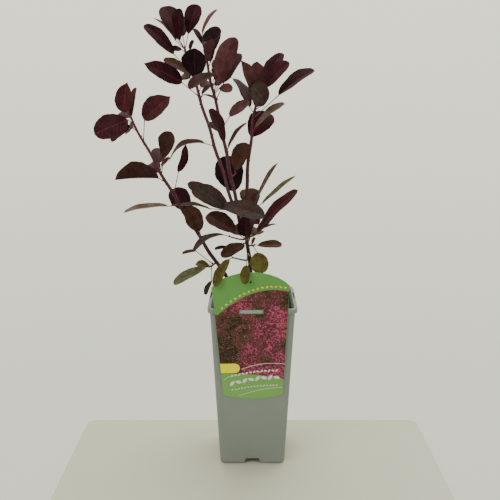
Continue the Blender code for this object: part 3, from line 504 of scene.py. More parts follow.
class Wiring:
    """A node tree that is being wired.

    A Mix node's colours go by number, because its sockets for other kinds share their names.
    """

    mix_colours = (6, 7)
    mix_result = 2

    def __init__(self, tree: bpy.types.NodeTree) -> None:
        self.tree = tree

    def feed(self, node: bpy.types.Node, inputs: dict) -> bpy.types.Node:
        """Link each input to its pattern, or set it to its number or colour."""
        for name, value in inputs.items():
            socket = node.inputs[name]
            if isinstance(value, Socket):
                self.tree.links.new(value, socket)
            elif socket.type == "RGBA":
                socket.default_value = (*value, 1.0)
            else:
                socket.default_value = value
        return node

    def node(self, kind: str, inputs: dict, **options: str) -> bpy.types.Node:
        """A new node of a kind, with its options set and its inputs fed."""
        node = self.tree.nodes.new(f"ShaderNode{kind}")
        for name, value in options.items():
            setattr(node, name, value)
        return self.feed(node, inputs)

    def mix(self, factor: Socket, first: object, second: object) -> Socket:
        """Two colours or patterns mixed by a third pattern."""
        inputs = {"Factor": factor, self.mix_colours[0]: first, self.mix_colours[1]: second}
        return self.node("Mix", inputs, data_type="RGBA").outputs[self.mix_result]


class Surface(Wiring):
    """A Principled material that is being wired."""

    def __init__(self, name: str, colour: Colour, roughness: float, specular: float) -> None:
        self.material = bpy.data.materials.new(name)
        self.material.use_nodes = True
        super().__init__(self.material.node_tree)
        self.shader = self.tree.nodes["Principled BSDF"]
        self.feed(self.shader, {"Base Color": colour, "Roughness": roughness,
                                "Specular IOR Level": specular})
        self.place = self.node("TexCoord", {}).outputs["Object"]

    def stretched(self, stretch: Triple) -> Socket:
        """Object coordinates, scaled along each axis where that is asked for."""
        if stretch == (1, 1, 1):
            return self.place
        return self.node("Mapping", {"Vector": self.place, "Scale": stretch}).outputs["Vector"]

    def noise(self, scale: float, detail: float, stretch: Triple = (1, 1, 1)) -> Socket:
        """A noise pattern of so many lumps a metre."""
        inputs = {"Scale": scale, "Detail": detail, "Vector": self.stretched(stretch)}
        return self.node("TexNoise", inputs).outputs["Fac"]

    def cells(self, scale: float, stretch: Triple) -> Socket:
        """Distance from the middles of scattered cells."""
        inputs = {"Scale": scale, "Vector": self.stretched(stretch)}
        return self.node("TexVoronoi", inputs).outputs["Distance"]

    def told(self, name: str) -> tuple[Socket, ...]:
        """The three numbers that the mesh tells at each point."""
        vector = self.node("Attribute", {}, attribute_name=name).outputs["Vector"]
        return tuple(self.node("SeparateXYZ", {"Vector": vector}).outputs)

    def math(self, operation: str, value: Socket, other: float = 0.0) -> Socket:
        """A pattern worked on by one plain operation."""
        return self.node("Math", {0: value, 1: other}, operation=operation).outputs["Value"]

    def height(self, low: float, high: float) -> Socket:
        """A share that goes from 0 at one height to 1 at another."""
        up = self.node("SeparateXYZ", {"Vector": self.place}).outputs["Z"]
        inputs = {"Value": up, "From Min": low, "From Max": high}
        return self.node("MapRange", inputs).outputs["Result"]

    def span(self, factor: Socket, low: float, high: float) -> Socket:
        """A pattern of 0 to 1 brought to another range."""
        inputs = {"Value": factor, "To Min": low, "To Max": high}
        return self.node("MapRange", inputs).outputs["Result"]

    def ramp(self, factor: Socket, *stops: tuple[float, Colour]) -> Socket:
        """A colour for each value of a pattern."""
        node = self.node("ValToRGB", {"Fac": factor})
        elements = node.color_ramp.elements
        for index, (place, colour) in enumerate(stops):
            element = elements[index] if index < 2 else elements.new(place)
            element.position = place
            element.color = (*colour, 1.0)
        return node.outputs["Color"]

    def tones(self, factor: Socket, base: Colour, *stops: Pair) -> Socket:
        """Darker and lighter tones of one colour for the values of a pattern."""
        return self.ramp(factor, *((place, shade(base, tone)) for place, tone in stops))

    def mask(self, factor: Socket, *stops: Pair) -> Socket:
        """A strength for each value of a pattern, as a grey."""
        return self.ramp(factor, *((place, (strength,) * 3) for place, strength in stops))

    def colour(self, source: Socket) -> None:
        """Colour the surface by a pattern."""
        self.feed(self.shader, {"Base Color": source})

    def rough(self, factor: Socket, low: float, high: float) -> None:
        """Roughen the surface by a pattern, from the low roughness to the high."""
        self.feed(self.shader, {"Roughness": self.span(factor, low, high)})

    def bump(self, source: Socket, depth: float, strength: float = 1.0) -> None:
        """Raise the surface by a pattern, as deep as given in metres, over earlier bumps."""
        inputs = {"Distance": depth, "Strength": strength, "Height": source}
        normal = self.shader.inputs["Normal"]
        if normal.is_linked:
            inputs["Normal"] = normal.links[0].from_socket
        self.tree.links.new(self.node("Bump", inputs).outputs["Normal"], normal)


def shade(colour: Colour, factor: float) -> Colour:
    """A colour made lighter or darker."""
    return tuple(min(1.0, channel * factor) for channel in colour)


@dataclass(frozen=True)
class LeafFinish:
    """A blade's skin: a mottled colour with browner patches, side veins, a thin margin and a fine bump.

    A side vein runs where the third number of the blade's place is whole, and fades
    towards the margin, which the second number tells as -1 and 1.
    """

    name: str
    base: Colour
    rib: Colour
    patch: Colour = (0.052, 0.026, 0.015)
    vein: float = 0.50
    margin: float = 0.45
    roughness: float = 0.56
    uneven: float = 0.08
    specular: float = 0.06
    sheen: float = 0.02

    def material(self) -> Material:
        """Wire the skin."""
        surface = Surface(self.name, self.base, roughness=self.roughness, specular=self.specular)
        _, across, beat = surface.told(BLADE_PLACE)
        outward = surface.math("ABSOLUTE", across)
        mottle = surface.tones(surface.noise(150, 6), self.base, (0.34, 0.66), (0.66, 1.32))
        patches = surface.mask(surface.noise(52, 4), (0.50, 0), (0.70, 0.6))
        veins = surface.mask(surface.math("PINGPONG", beat, 0.5), (0.02, self.vein), (0.13, 0))
        reached = surface.mask(outward, (0.62, 0), (0.97, 1))
        margin = surface.mask(outward, (0.93, 0), (0.99, self.margin))
        skin = surface.mix(patches, mottle, self.patch)
        skin = surface.mix(surface.mix(reached, veins, (0, 0, 0)), skin, self.rib)
        surface.colour(surface.mix(margin, skin, self.rib))
        surface.rough(surface.noise(420, 2), self.roughness - self.uneven, self.roughness + self.uneven)
        surface.bump(surface.noise(1500, 2), 0.06 * MM)
        surface.feed(surface.shader, {"Sheen Weight": self.sheen, "Sheen Roughness": 0.5})
        return surface.material


@dataclass(frozen=True)
class LeafColours:
    """The colours of a leaf's upper side, its underside and its rib."""

    upper: Colour
    lower: Colour
    rib: Colour


TINTS = {
    Tint.PLUM: LeafColours((0.031, 0.0066, 0.0100), (0.066, 0.026, 0.030), (0.095, 0.018, 0.024)),
    Tint.BURGUNDY: LeafColours((0.050, 0.0092, 0.0125), (0.084, 0.030, 0.034), (0.115, 0.020, 0.026)),
    Tint.INK: LeafColours((0.015, 0.0055, 0.0085), (0.042, 0.022, 0.026), (0.045, 0.013, 0.016)),
    Tint.UMBER: LeafColours((0.046, 0.019, 0.0145), (0.068, 0.038, 0.031), (0.085, 0.024, 0.020)),
    Tint.BROWN: LeafColours((0.062, 0.030, 0.018), (0.092, 0.056, 0.036), (0.105, 0.026, 0.022)),
    Tint.ROSE: LeafColours((0.092, 0.036, 0.035), (0.150, 0.052, 0.062), (0.140, 0.034, 0.038)),
    Tint.OLIVE: LeafColours((0.105, 0.092, 0.019), (0.120, 0.110, 0.048), (0.130, 0.080, 0.030)),
    Tint.GREEN: LeafColours((0.080, 0.084, 0.036), (0.100, 0.100, 0.060), (0.110, 0.060, 0.040)),
    Tint.GREY: LeafColours((0.040, 0.029, 0.025), (0.074, 0.052, 0.043), (0.090, 0.034, 0.030)),
    Tint.PALE: LeafColours((0.125, 0.088, 0.068), (0.135, 0.092, 0.074), (0.150, 0.055, 0.046)),
}
SHADES = (0.82, 1.0, 1.2)


@dataclass(frozen=True)
class BarkFinish:
    """Young bark: near black at the foot, dark red above, with paler pores."""

    name: str = "bark"
    foot: Colour = (0.020, 0.008, 0.011)
    top: Colour = (0.085, 0.012, 0.022)
    pore: Colour = (0.150, 0.080, 0.060)
    foot_z: float = 0.24
    top_z: float = 0.40

    def material(self) -> Material:
        """Wire the bark."""
        surface = Surface(self.name, self.top, roughness=0.45, specular=0.35)
        streaks = surface.noise(260, 5, (1, 1, 0.12))
        older = surface.mix(streaks, shade(self.foot, 0.7), shade(self.foot, 1.9))
        younger = surface.mix(streaks, shade(self.top, 0.55), shade(self.top, 1.5))
        skin = surface.mix(surface.height(self.foot_z, self.top_z), older, younger)
        pores = surface.mask(surface.cells(620, (1, 1, 0.6)), (0.10, 1), (0.20, 0))
        surface.colour(surface.mix(pores, skin, self.pore))
        surface.rough(streaks, 0.36, 0.62)
        surface.bump(streaks, 0.2 * MM)
        surface.bump(pores, 0.12 * MM)
        return surface.material


@dataclass(frozen=True)
class PetioleFinish:
    """The smooth red skin of petioles, young twigs and buds."""

    name: str = "petiole"
    base: Colour = (0.150, 0.040, 0.038)

    def material(self) -> Material:
        """Wire the skin."""
        surface = Surface(self.name, self.base, roughness=0.42, specular=0.4)
        surface.colour(surface.tones(surface.noise(300, 3), self.base, (0.35, 0.55), (0.7, 1.25)))
        surface.bump(surface.noise(1800, 2), 0.05 * MM)
        return surface.material


@dataclass(frozen=True)
class PotPlastic:
    """Recycled grey-green plastic: satin, faintly clouded and scuffed, darker and dusty at the foot."""

    name: str = "pot_plastic"
    base: Colour = (0.222, 0.252, 0.221)
    dust: Colour = (0.30, 0.29, 0.25)
    dusty_z: float = 0.02
    dark_z: float = 0.09

    def material(self) -> Material:
        """Wire the plastic."""
        surface = Surface(self.name, self.base, roughness=0.45, specular=0.4)
        clouds = surface.tones(surface.noise(28, 5), self.base, (0.3, 0.97), (0.7, 1.03))
        scuffs = surface.mask(surface.noise(90, 9, (1, 1, 0.25)), (0.62, 0), (0.74, 0.35))
        worn = surface.mix(scuffs, clouds, shade(self.base, 1.25))
        graded = surface.mix(surface.height(0.0, self.dark_z), shade(self.base, 0.90), worn)
        dusty = surface.mask(surface.height(0.0, self.dusty_z), (0.0, 0.25), (1.0, 0))
        surface.colour(surface.mix(dusty, graded, self.dust))
        surface.rough(surface.noise(60, 6), 0.38, 0.56)
        surface.bump(surface.noise(2200, 3), 0.05 * MM)
        surface.bump(surface.noise(35, 2), 0.4 * MM, 0.35)
        return surface.material


@dataclass(frozen=True)
class SoilFinish:
    """Moist peat, a pale grain or bark fibre."""

    name: str
    dark: Colour
    light: Colour

    def material(self) -> Material:
        """Wire the crumbs' colour and grain."""
        surface = Surface(self.name, self.dark, roughness=0.95, specular=0.2)
        surface.colour(surface.ramp(surface.noise(420, 8), (0.38, self.dark), (0.68, self.light)))
        surface.bump(surface.noise(1300, 6), 0.5 * MM)
        return surface.material


def filmed(surface: Surface) -> Material:
    """A print's material under the label's clear film, which is faintly uneven."""
    surface.bump(surface.noise(120, 2), 0.12 * MM, 0.5)
    return surface.material


@dataclass(frozen=True)
class InkFinish:
    """One plain printing ink under the label's clear film."""

    name: str
    base: Colour
    roughness: float = 0.34

    def material(self) -> Material:
        """Wire the ink's grain."""
        surface = Surface(self.name, self.base, roughness=self.roughness, specular=0.2)
        surface.colour(surface.tones(surface.noise(900, 2), self.base, (0.3, 0.94), (0.7, 1.05)))
        return filmed(surface)


@dataclass(frozen=True)
class GreenInk:
    """The label's ground: a leaf green that grows lighter towards its foot."""

    name: str = "label_green"
    top: Colour = (0.135, 0.345, 0.078)
    foot: Colour = (0.205, 0.420, 0.105)
    foot_z: float = 0.112
    top_z: float = 0.150
    roughness: float = 0.34

    def material(self) -> Material:
        """Wire the ink's grading and grain."""
        surface = Surface(self.name, self.top, roughness=self.roughness, specular=0.25)
        blend = surface.mix(surface.height(self.foot_z, self.top_z), self.foot, self.top)
        grain = surface.span(surface.noise(260, 3), 0.0, 0.25)
        surface.colour(surface.mix(grain, blend, shade(self.top, 0.6)))
        return filmed(surface)


@dataclass(frozen=True)
class BloomPrint:
    """The label's picture field: a generic haze of dark red and brown with pink and pale specks."""

    name: str = "label_bloom_print"
    deep: Colour = (0.014, 0.008, 0.005)
    brown: Colour = (0.075, 0.032, 0.012)
    wine: Colour = (0.085, 0.012, 0.022)
    pink: Colour = (0.500, 0.082, 0.155)
    pale: Colour = (0.560, 0.300, 0.320)
    roughness: float = 0.34

    def material(self) -> Material:
        """Wire two sizes of speck over drifting clouds of four colours."""
        surface = Surface(self.name, self.wine, roughness=self.roughness, specular=0.25)
        drifts = surface.noise(26, 4)
        haze = surface.ramp(drifts, (0.42, self.deep), (0.48, self.brown), (0.54, self.wine),
                            (0.68, shade(self.pink, 0.35)))
        bloom = surface.ramp(drifts, (0.42, shade(self.brown, 1.1)), (0.50, shade(self.pink, 0.4)),
                             (0.58, shade(self.pink, 0.95)))
        specks = surface.mask(surface.noise(460, 3), (0.50, 0), (0.57, 1))
        glints = surface.mask(surface.noise(980, 1), (0.66, 0), (0.72, 0.8))
        surface.colour(surface.mix(glints, surface.mix(specks, haze, bloom), self.pale))
        return filmed(surface)


class Stem:
    """A limb's path: evenly spaced points with a run and a radius at each.

    Its heading and lean change evenly along it, and the heading wanders by a sine wave,
    in full on a limb of wander_full mm or more and in proportion on a shorter one.
    It leaves its parent squarely and swoops into its own run within a few millimetres.
    """

    step = 1.5 * MM
    swoop = 4 * MM
    wander = 4.0
    wander_length = 58 * MM
    wander_full = 50
    flare_length = 8 * MM

    def __init__(self, limb: Limb, stems: dict[str, "Stem"]) -> None:
        length = limb.length * MM
        start, leaving = self.root(limb, stems)
        steps = round(length / self.step)
        travel = np.linspace(0, length, steps + 1)
        share = travel / length
        full = min(1, limb.length / self.wander_full)
        swing = self.wander * np.sin(2 * math.pi * travel / self.wander_length) * full
        headings = between(limb.headings, share) + swing
        runs = np.array([direction(*turns) for turns in zip(headings, between(limb.leans, share))])
        bend = np.exp(-np.maximum(0, travel - self.step) / self.swoop)[:, None]
        runs = unit(runs * (1 - bend) + leaving * bend)
        moves = (runs[1:] + runs[:-1]) / 2 * (length / steps)
        self.points = start + np.vstack((np.zeros(3), np.cumsum(moves, axis=0)))
        self.travel = travel
        self.runs = runs
        self.radii = (between(limb.radii, share) + limb.flare * np.exp(-travel / self.flare_length)) * MM
        self.joints: list[tuple[float, Array]] = []

    def root(self, limb: Limb, stems: dict[str, "Stem"]) -> tuple[Array, Array]:
        """Where a limb starts, and the way in which it leaves."""
        if limb.parent is None:
            return np.array((limb.at * MM, 0, SOIL_TOP + GAP)), np.array((0, 0, 1.0))
        at, along, radius = stems[limb.parent].at(limb.at)
        if limb.at == 1.0:
            return at + along * GAP, along
        aim = direction(limb.headings[0], limb.leans[0])
        side = unit(aim - along * np.dot(aim, along))
        return at + side * (radius + GAP), side

    def at(self, share: float) -> tuple[Array, Array, float]:
        """Point, run and radius at a share of the path."""
        index = round(share * (len(self.points) - 1))
        return self.points[index], self.runs[index], self.radii[index]


def grow_stems() -> dict[str, Stem]:
    """Every limb and twig by name, parents before children."""
    stems: dict[str, Stem] = {}
    for name, limb in {**LIMBS, **TWIGS}.items():
        stems[name] = Stem(limb, stems)
    return stems


class Blade:
    """One leaf: a petiole from its stem and a folded, drooping, rounded blade.

    A margin wave is its pace along the blade and its height. A relief is how far the
    skin rises between the veins, at a side vein and at the rib, in turn.
    """

    ratio = 0.5
    base_width = 2.4 * MM
    tip_width = 3.6 * MM
    pivot = 0.35
    ripple_height = 0.02
    ripple_waves = 3
    petiole_lift = 0.5
    petiole_knee = 0.55
    petiole_sink = 4 * MM
    ball = 1.9 * MM
    petiole_ball = 0.9 * MM
    balls_along_across = (14, 7)
    petiole_balls = 6
    petiole_bare = 5 * MM

    stations = 52
    across_count = 21
    crowding = 1.25
    tip_reach = 0.97
    foot_share = 0.05
    foot_reach = 0.4
    margin_waves = ((8, 0.030), (23, 0.016), (47, 0.010))
    margin_shift = 1.9
    thickness = 0.42 * MM
    thinning = 0.72
    least_below = 0.4
    veins = 9.0
    vein_reach = 0.20
    vein_width = 0.13
    rib_width = 0.06
    rib_fade = 0.7
    relief_above = np.array((0.26, -0.12, -0.10)) * MM
    relief_below = np.array((-0.20, 0.14, 0.42)) * MM

    stalk_count = 14
    stalk_shares = (0, 0.08, 0.3, 0.85, 1)
    stalk_radii = np.array((0.95, 0.8, 0.52, 0.5, 0.62)) * MM
    sunk_count = 4
    sunk_from = 0.25
    sunk_depth = 0.25 * MM
    sunk_radii = (0.55 * MM, 0.2 * MM)

    def __init__(self, leaf: Leaf, stem: Stem, chance: dict[str, float], sway: float) -> None:
        self.leaf = leaf
        self.length = leaf.length * MM
        self.width = self.length * self.ratio * leaf.wide * chance["width"]
        self.form = leaf.form.value
        self.droop = math.radians(self.form.droop * chance["droop"])
        self.fold = math.radians(self.form.fold * chance["fold"])
        self.ripple = chance["ripple"]
        self.along = direction(leaf.heading, leaf.lean + sway)
        self.root, stem_run, self.stem_radius = stem.at(leaf.at)
        outward = direction(leaf.heading + leaf.swing, leaf.lean + sway)
        back = min(0.0, float(np.dot(outward, stem_run)))
        self.leaving = unit(outward - back * stem_run + self.petiole_lift * stem_run)
        self.base = self.root + self.leaving * leaf.petiole * MM
        view = direction(-90, 90 - CAMERA_PITCH) * np.array((1, 1, -1))
        face = unit(view - self.along * np.dot(view, self.along))
        side = np.cross(self.along, face)
        if side[2] < 0:
            side = -side
        turn = math.radians(leaf.turn)
        self.face = face * math.cos(turn) + side * math.sin(turn)
        self.side = np.cross(self.face, self.along)

    def surface(self, share: Array, across: Array) -> Array:
        """Points on the blade for shares of its length and of its half width.

        The midrib is an arc that bends away from the face by the droop. Half the width
        is sin(pi s^peak)^round between the two end widths. Each half rises from the
        midrib at the fold angle, and the margin ripples by a sine wave.

        Args:
            share: Shares of the length, from the base to the tip.
            across: Shares of the half width, from -1 to 1.

        Returns:
            One point for each pair.
        """
        share, across = np.asarray(share, float)[..., None], np.asarray(across, float)[..., None]
        bend = self.droop * (share - self.pivot)
        start = self.pivot * self.droop
        forward = self.length * (np.sin(bend) + math.sin(start)) / self.droop
        sink = self.length * (1 - np.cos(bend) - (1 - math.cos(start))) / self.droop
        ends = between((self.base_width, self.tip_width), share)
        swell = np.sin(math.pi * np.clip(share, 0, 1) ** self.form.peak) ** self.form.round
        half = (self.width - ends) / 2 * swell + ends / 2
        wave = np.sin(math.pi * (self.ripple_waves * share + self.ripple)) * np.sin(math.pi * share)
        ripple = self.ripple * self.ripple_height * self.length * wave * across ** 2
        lift = half * np.abs(across) * math.sin(self.fold) - sink + ripple
        sideways = half * across * math.cos(self.fold)
        return self.base + self.along * forward + self.face * lift + self.side * sideways

    def balls(self) -> Balls:
        """Centres and radii of the balls that stand for the leaf in clearance tests."""
        count = self.balls_along_across
        share, across = np.meshgrid(np.linspace(0, 1, count[0]), np.linspace(-1, 1, count[1]))
        blade = self.surface(share.ravel(), across.ravel())
        clear = min(1.0, self.petiole_bare / (self.leaf.petiole * MM))
        shares = np.linspace(clear, 1, self.petiole_balls)[:, None]
        stalk = self.root * (1 - shares) + self.base * shares
        return np.vstack((blade, stalk)), np.r_[np.full(len(blade), self.ball),
                                                np.full(len(stalk), self.petiole_ball)]

    def reach(self, share: Array, across: Array, chance: random.Random) -> Array:
        """How much of its half width the blade has at each point.

        Over its tip share t, the tip draws in as (1 - 0.97 t^2)^taper, and the foot
        widens as a root. Each side's margin swells and notches by three sine waves.

        Args:
            share: Shares of the length.
            across: Shares of the half width.
            chance: Source of the waves' phase.

        Returns:
            A factor of about one for each point.
        """
        tip = np.clip((share - 1 + self.form.tip_share) / self.form.tip_share, 0, 1)
        foot = np.clip(share / self.foot_share, 0, 1) ** 0.5
        draw_in = (1 - self.tip_reach * tip ** 2) ** self.form.tip_taper * between((self.foot_reach, 1), foot)
        phase = chance.uniform(0, FULL_TURN) + self.margin_shift * (across > 0)
        notches = sum(height * np.sin(pace * share + index * phase)
                      for index, (pace, height) in enumerate(self.margin_waves, 1))
        return draw_in * (1 + notches)

    def skin(self, chance: random.Random) -> tuple[Array, Array, Array]:
        """The blade's two sides as grids, with its veins in relief.

        A side vein is the line where veins * (share - reach * |across|^1.2) is whole,
        so that it leaves the rib aslant and bends towards the tip. Veins and rib are
        bell curves across themselves. They are sunk on top and stand out below, and the
        skin swells between them by the square of a sine.

        Args:
            chance: Source of this leaf's own unevenness.

        Returns:
            The upper grid, the lower grid, and each point's share, place across and beat.
        """
        share = (1 - np.cos(np.linspace(0, math.pi, self.stations)))[:, None] / 2
        spread = np.linspace(-1, 1, self.across_count)
        across = (np.sign(spread) * np.abs(spread) ** self.crowding)[None, :]
        share, across = np.broadcast_arrays(share, across)
        outward = np.abs(across)
        middle = self.surface(share, across * self.reach(share, across, chance))
        normal = unit(np.cross(np.gradient(middle, axis=0), np.gradient(middle, axis=1)))
        if float((normal @ self.face).mean()) < 0:
            normal = -normal
        offset = np.where(across > 0, 0.5, 0.0) + chance.uniform(0, 1)
        beat = self.veins * (share - self.vein_reach * outward ** 1.2) + offset
        away = np.abs(beat - np.round(beat))
        fade = (1 - outward ** 4) * np.sin(math.pi * np.clip(share, 0.02, 0.98)) ** 0.4
        pillow = np.sin(math.pi * away) ** 2 * outward * (1 - outward) * 4 * fade
        vein = np.exp(-(away / self.vein_width) ** 2) * fade
        rib = np.exp(-(across / self.rib_width) ** 2) * (1 - self.rib_fade * share)
        relief = np.stack((pillow, vein, rib), -1)
        thick = self.thickness * (1 - self.thinning * outward ** 3) / 2
        above = thick + relief @ self.relief_above
        below = np.maximum(thick + relief @ self.relief_below, thick * self.least_below)
        return (middle + normal * above[..., None], middle - normal * below[..., None],
                np.stack((share, across, beat), -1))

    def stalk(self) -> Balls:
        """The petiole's points and radii: a quadratic curve that ends sunk in the blade."""
        shares = np.linspace(0, 1, self.stalk_count)
        down = shares[:, None]
        knee = self.root + self.leaving * self.leaf.petiole * MM * self.petiole_knee
        curve = (1 - down) ** 2 * self.root + 2 * down * (1 - down) * knee + down ** 2 * self.base
        end = self.surface(np.array(self.petiole_sink / self.length), np.array(0.0))
        sunk = self.base + (end - self.base) * np.linspace(self.sunk_from, 1, self.sunk_count)[:, None]
        radii = np.interp(shares, self.stalk_shares, self.stalk_radii)
        return (np.vstack((curve, sunk - self.face * self.sunk_depth)),
                np.r_[radii, np.linspace(*self.sunk_radii, self.sunk_count)])


def sweep(path: Array, radii: Array, sides: int) -> Array:
    """Carry a circle of changing size along a path.

    Args:
        path: Points of the path.
        radii: Radius at each point.
        sides: Points round the circle.

    Returns:
        Rings of points.
    """
    runs = unit(np.gradient(path, axis=0))
    reference = np.eye(3)[int(np.argmin(np.abs(runs.mean(0))))]
    first = unit(np.cross(runs, reference))
    second = np.cross(runs, first)
    turns = np.linspace(0, 2 * math.pi, sides, endpoint=False)[None, :, None]
    ring = first[:, None] * np.cos(turns) + second[:, None] * np.sin(turns)
    return path[:, None] + ring * radii[:, None, None]


def bud(root: Array, axis: Array, length: float, radius: float, sides: int = 8, rings: int = 7) -> Array:
    """A pointed bud: radius times sin(pi s)^0.8 along an axis, as rings."""
    share = np.linspace(0.02, 0.98, rings)
    path = root + axis * (share * length)[:, None]
    return sweep(path, radius * np.sin(math.pi * share) ** 0.8, sides)


@dataclass(frozen=True)
class LabelPlace:
    """Where the label hangs on the pot: the sizes of both, and the label's lean and slight roll."""

    x: float = 1 * MM
    roll: float = 1.2
    foot_z: float = 94 * MM
    thick: float = 0.6 * MM
    height: float = 170 * MM
    shoulder: float = 152 * MM
    top_half: float = 47.6 * MM
    foot_half: float = 38.2 * MM
    foot_sag: float = 6 * MM
    rim_half: float = 56 * MM
    wall_top_half: float = 53.4 * MM
    pot_foot_half: float = 42 * MM
    pot_height: float = 215 * MM
    collar: float = 6 * MM

    def wall_half(self, z: float) -> float:
        """Half the pot's outer width at a height below its collar."""
        return between((self.pot_foot_half, self.wall_top_half), z / self.pot_height)

    @property
    def lean(self) -> float:
        """The angle at which it lies against the collar and the wall, in radians."""
        reach = self.pot_height - self.collar - self.foot_z
        return math.atan((self.rim_half - self.wall_half(self.foot_z)) / reach)

    @property
    def collar_z(self) -> float:
        """The height of the collar's middle."""
        return self.pot_height - self.collar / 2

    @property
    def window_up(self) -> float:
        """How far up the label the window for the pot's strap lies."""
        return (self.collar_z - self.foot_z) / math.cos(self.lean)

    @property
    def strap_x(self) -> float:
        """Where the middle of the label crosses the collar."""
        return self.x - self.window_up * math.sin(math.radians(self.roll))

    def put(self, flat: Array) -> Array:
        """Stand points of the label's own plane up against the pot."""
        foot_y = -self.wall_half(self.foot_z) - SLOPE_GAP - self.thick / 2
        stand = Matrix.Rotation(math.pi / 2 + self.lean, 4, "X")
        askew = Matrix.Rotation(math.radians(self.roll), 4, "Z")
        matrix = np.array(Matrix.Translation((self.x, foot_y, self.foot_z)) @ stand @ askew)
        return flat @ matrix[:3, :3].T + matrix[:3, 3]

    def half(self, v: Array) -> Array:
        """Half the label's width at a height on it."""
        share = np.clip((v - self.foot_sag) / (self.shoulder - self.foot_sag), 0, 1)
        return between((self.foot_half, self.top_half), share)


LABEL_PLACE = LabelPlace()


class Growth:
    """The rule that sets every leaf clear of the rest, as in the solids."""

    limb_ball = 0.6 * MM
    plate_ball = 1.0 * MM
    rim_ball = 2.0 * MM
    spacing = 4 * MM
    plate_from = 110 * MM
    same_mass = 0.5
    sways = (0, 6, -6, 12, -12, 18, -18, 25, -25, 32, -32)

    @staticmethod
    def meets(first: Balls, second: Balls, closeness: float = 1.0) -> bool:
        """Whether any ball of one set meets any ball of another."""
        gaps = np.linalg.norm(first[0][:, None] - second[0][None], axis=2)
        return bool((gaps < closeness * (first[1][:, None] + second[1][None])).any())

    def plate_balls(self) -> Balls:
        """Balls over the label's upper part, which leaves hang in front of."""
        place = LABEL_PLACE
        u, v = np.meshgrid(np.arange(-place.top_half, place.top_half, self.spacing),
                           np.arange(self.plate_from, place.height, self.spacing))
        flat = np.stack((u.ravel(), v.ravel(), np.zeros(u.size)), -1)
        arch = place.height - (place.height - place.shoulder) * (flat[:, 0] / place.top_half) ** 2
        centres = place.put(flat[flat[:, 1] <= arch])
        return centres, np.full(len(centres), self.plate_ball)

    def rim_balls(self) -> Balls:
        """Balls round the pot's rim."""
        half = LABEL_PLACE.rim_half
        side = np.arange(-half, half, self.spacing)
        flat = np.full(side.size, half)
        ring = np.vstack([np.c_[side, -flat], np.c_[side, flat], np.c_[-flat, side], np.c_[flat, side]])
        return np.c_[ring, np.full(len(ring), LABEL_PLACE.pot_height)], np.full(len(ring), self.rim_ball)

    def leaves(self, stems: dict[str, Stem]) -> dict[str, list[Blade]]:
        """Place each row's leaf at the first sway that is clear of all that stands.

        Args:
            stems: Every limb and twig.

        Returns:
            The leaves of each mass. A leaf that no sway clears is left out.
        """
        fixed = [self.plate_balls(), self.rim_balls()]
        standing = [(name, (stem.points[::2], stem.radii[::2] + self.limb_ball))
                    for name, stem in stems.items()]
        masses: dict[str, list[Blade]] = {}
        for name, rows in LEAVES.items():
            for index, leaf in enumerate(rows):
                seeded = random.Random(f"{SEED} {name} {index}")
                chance = {trait: seeded.uniform(*span) for trait, span in CHANCES.items()}
                for sway in self.sways:
                    blade = Blade(leaf, stems[name], chance, sway)
                    balls = blade.balls()
                    if any(self.meets(balls, other) for other in fixed):
                        continue
                    if any(self.meets(balls, other, self.same_mass if owner == name else 1.0)
                           for owner, other in standing):
                        continue
                    standing.append((name, balls))
                    masses.setdefault(name, []).append(blade)
                    stems[name].joints.append((leaf.at, blade.leaving))
                    break
        return masses


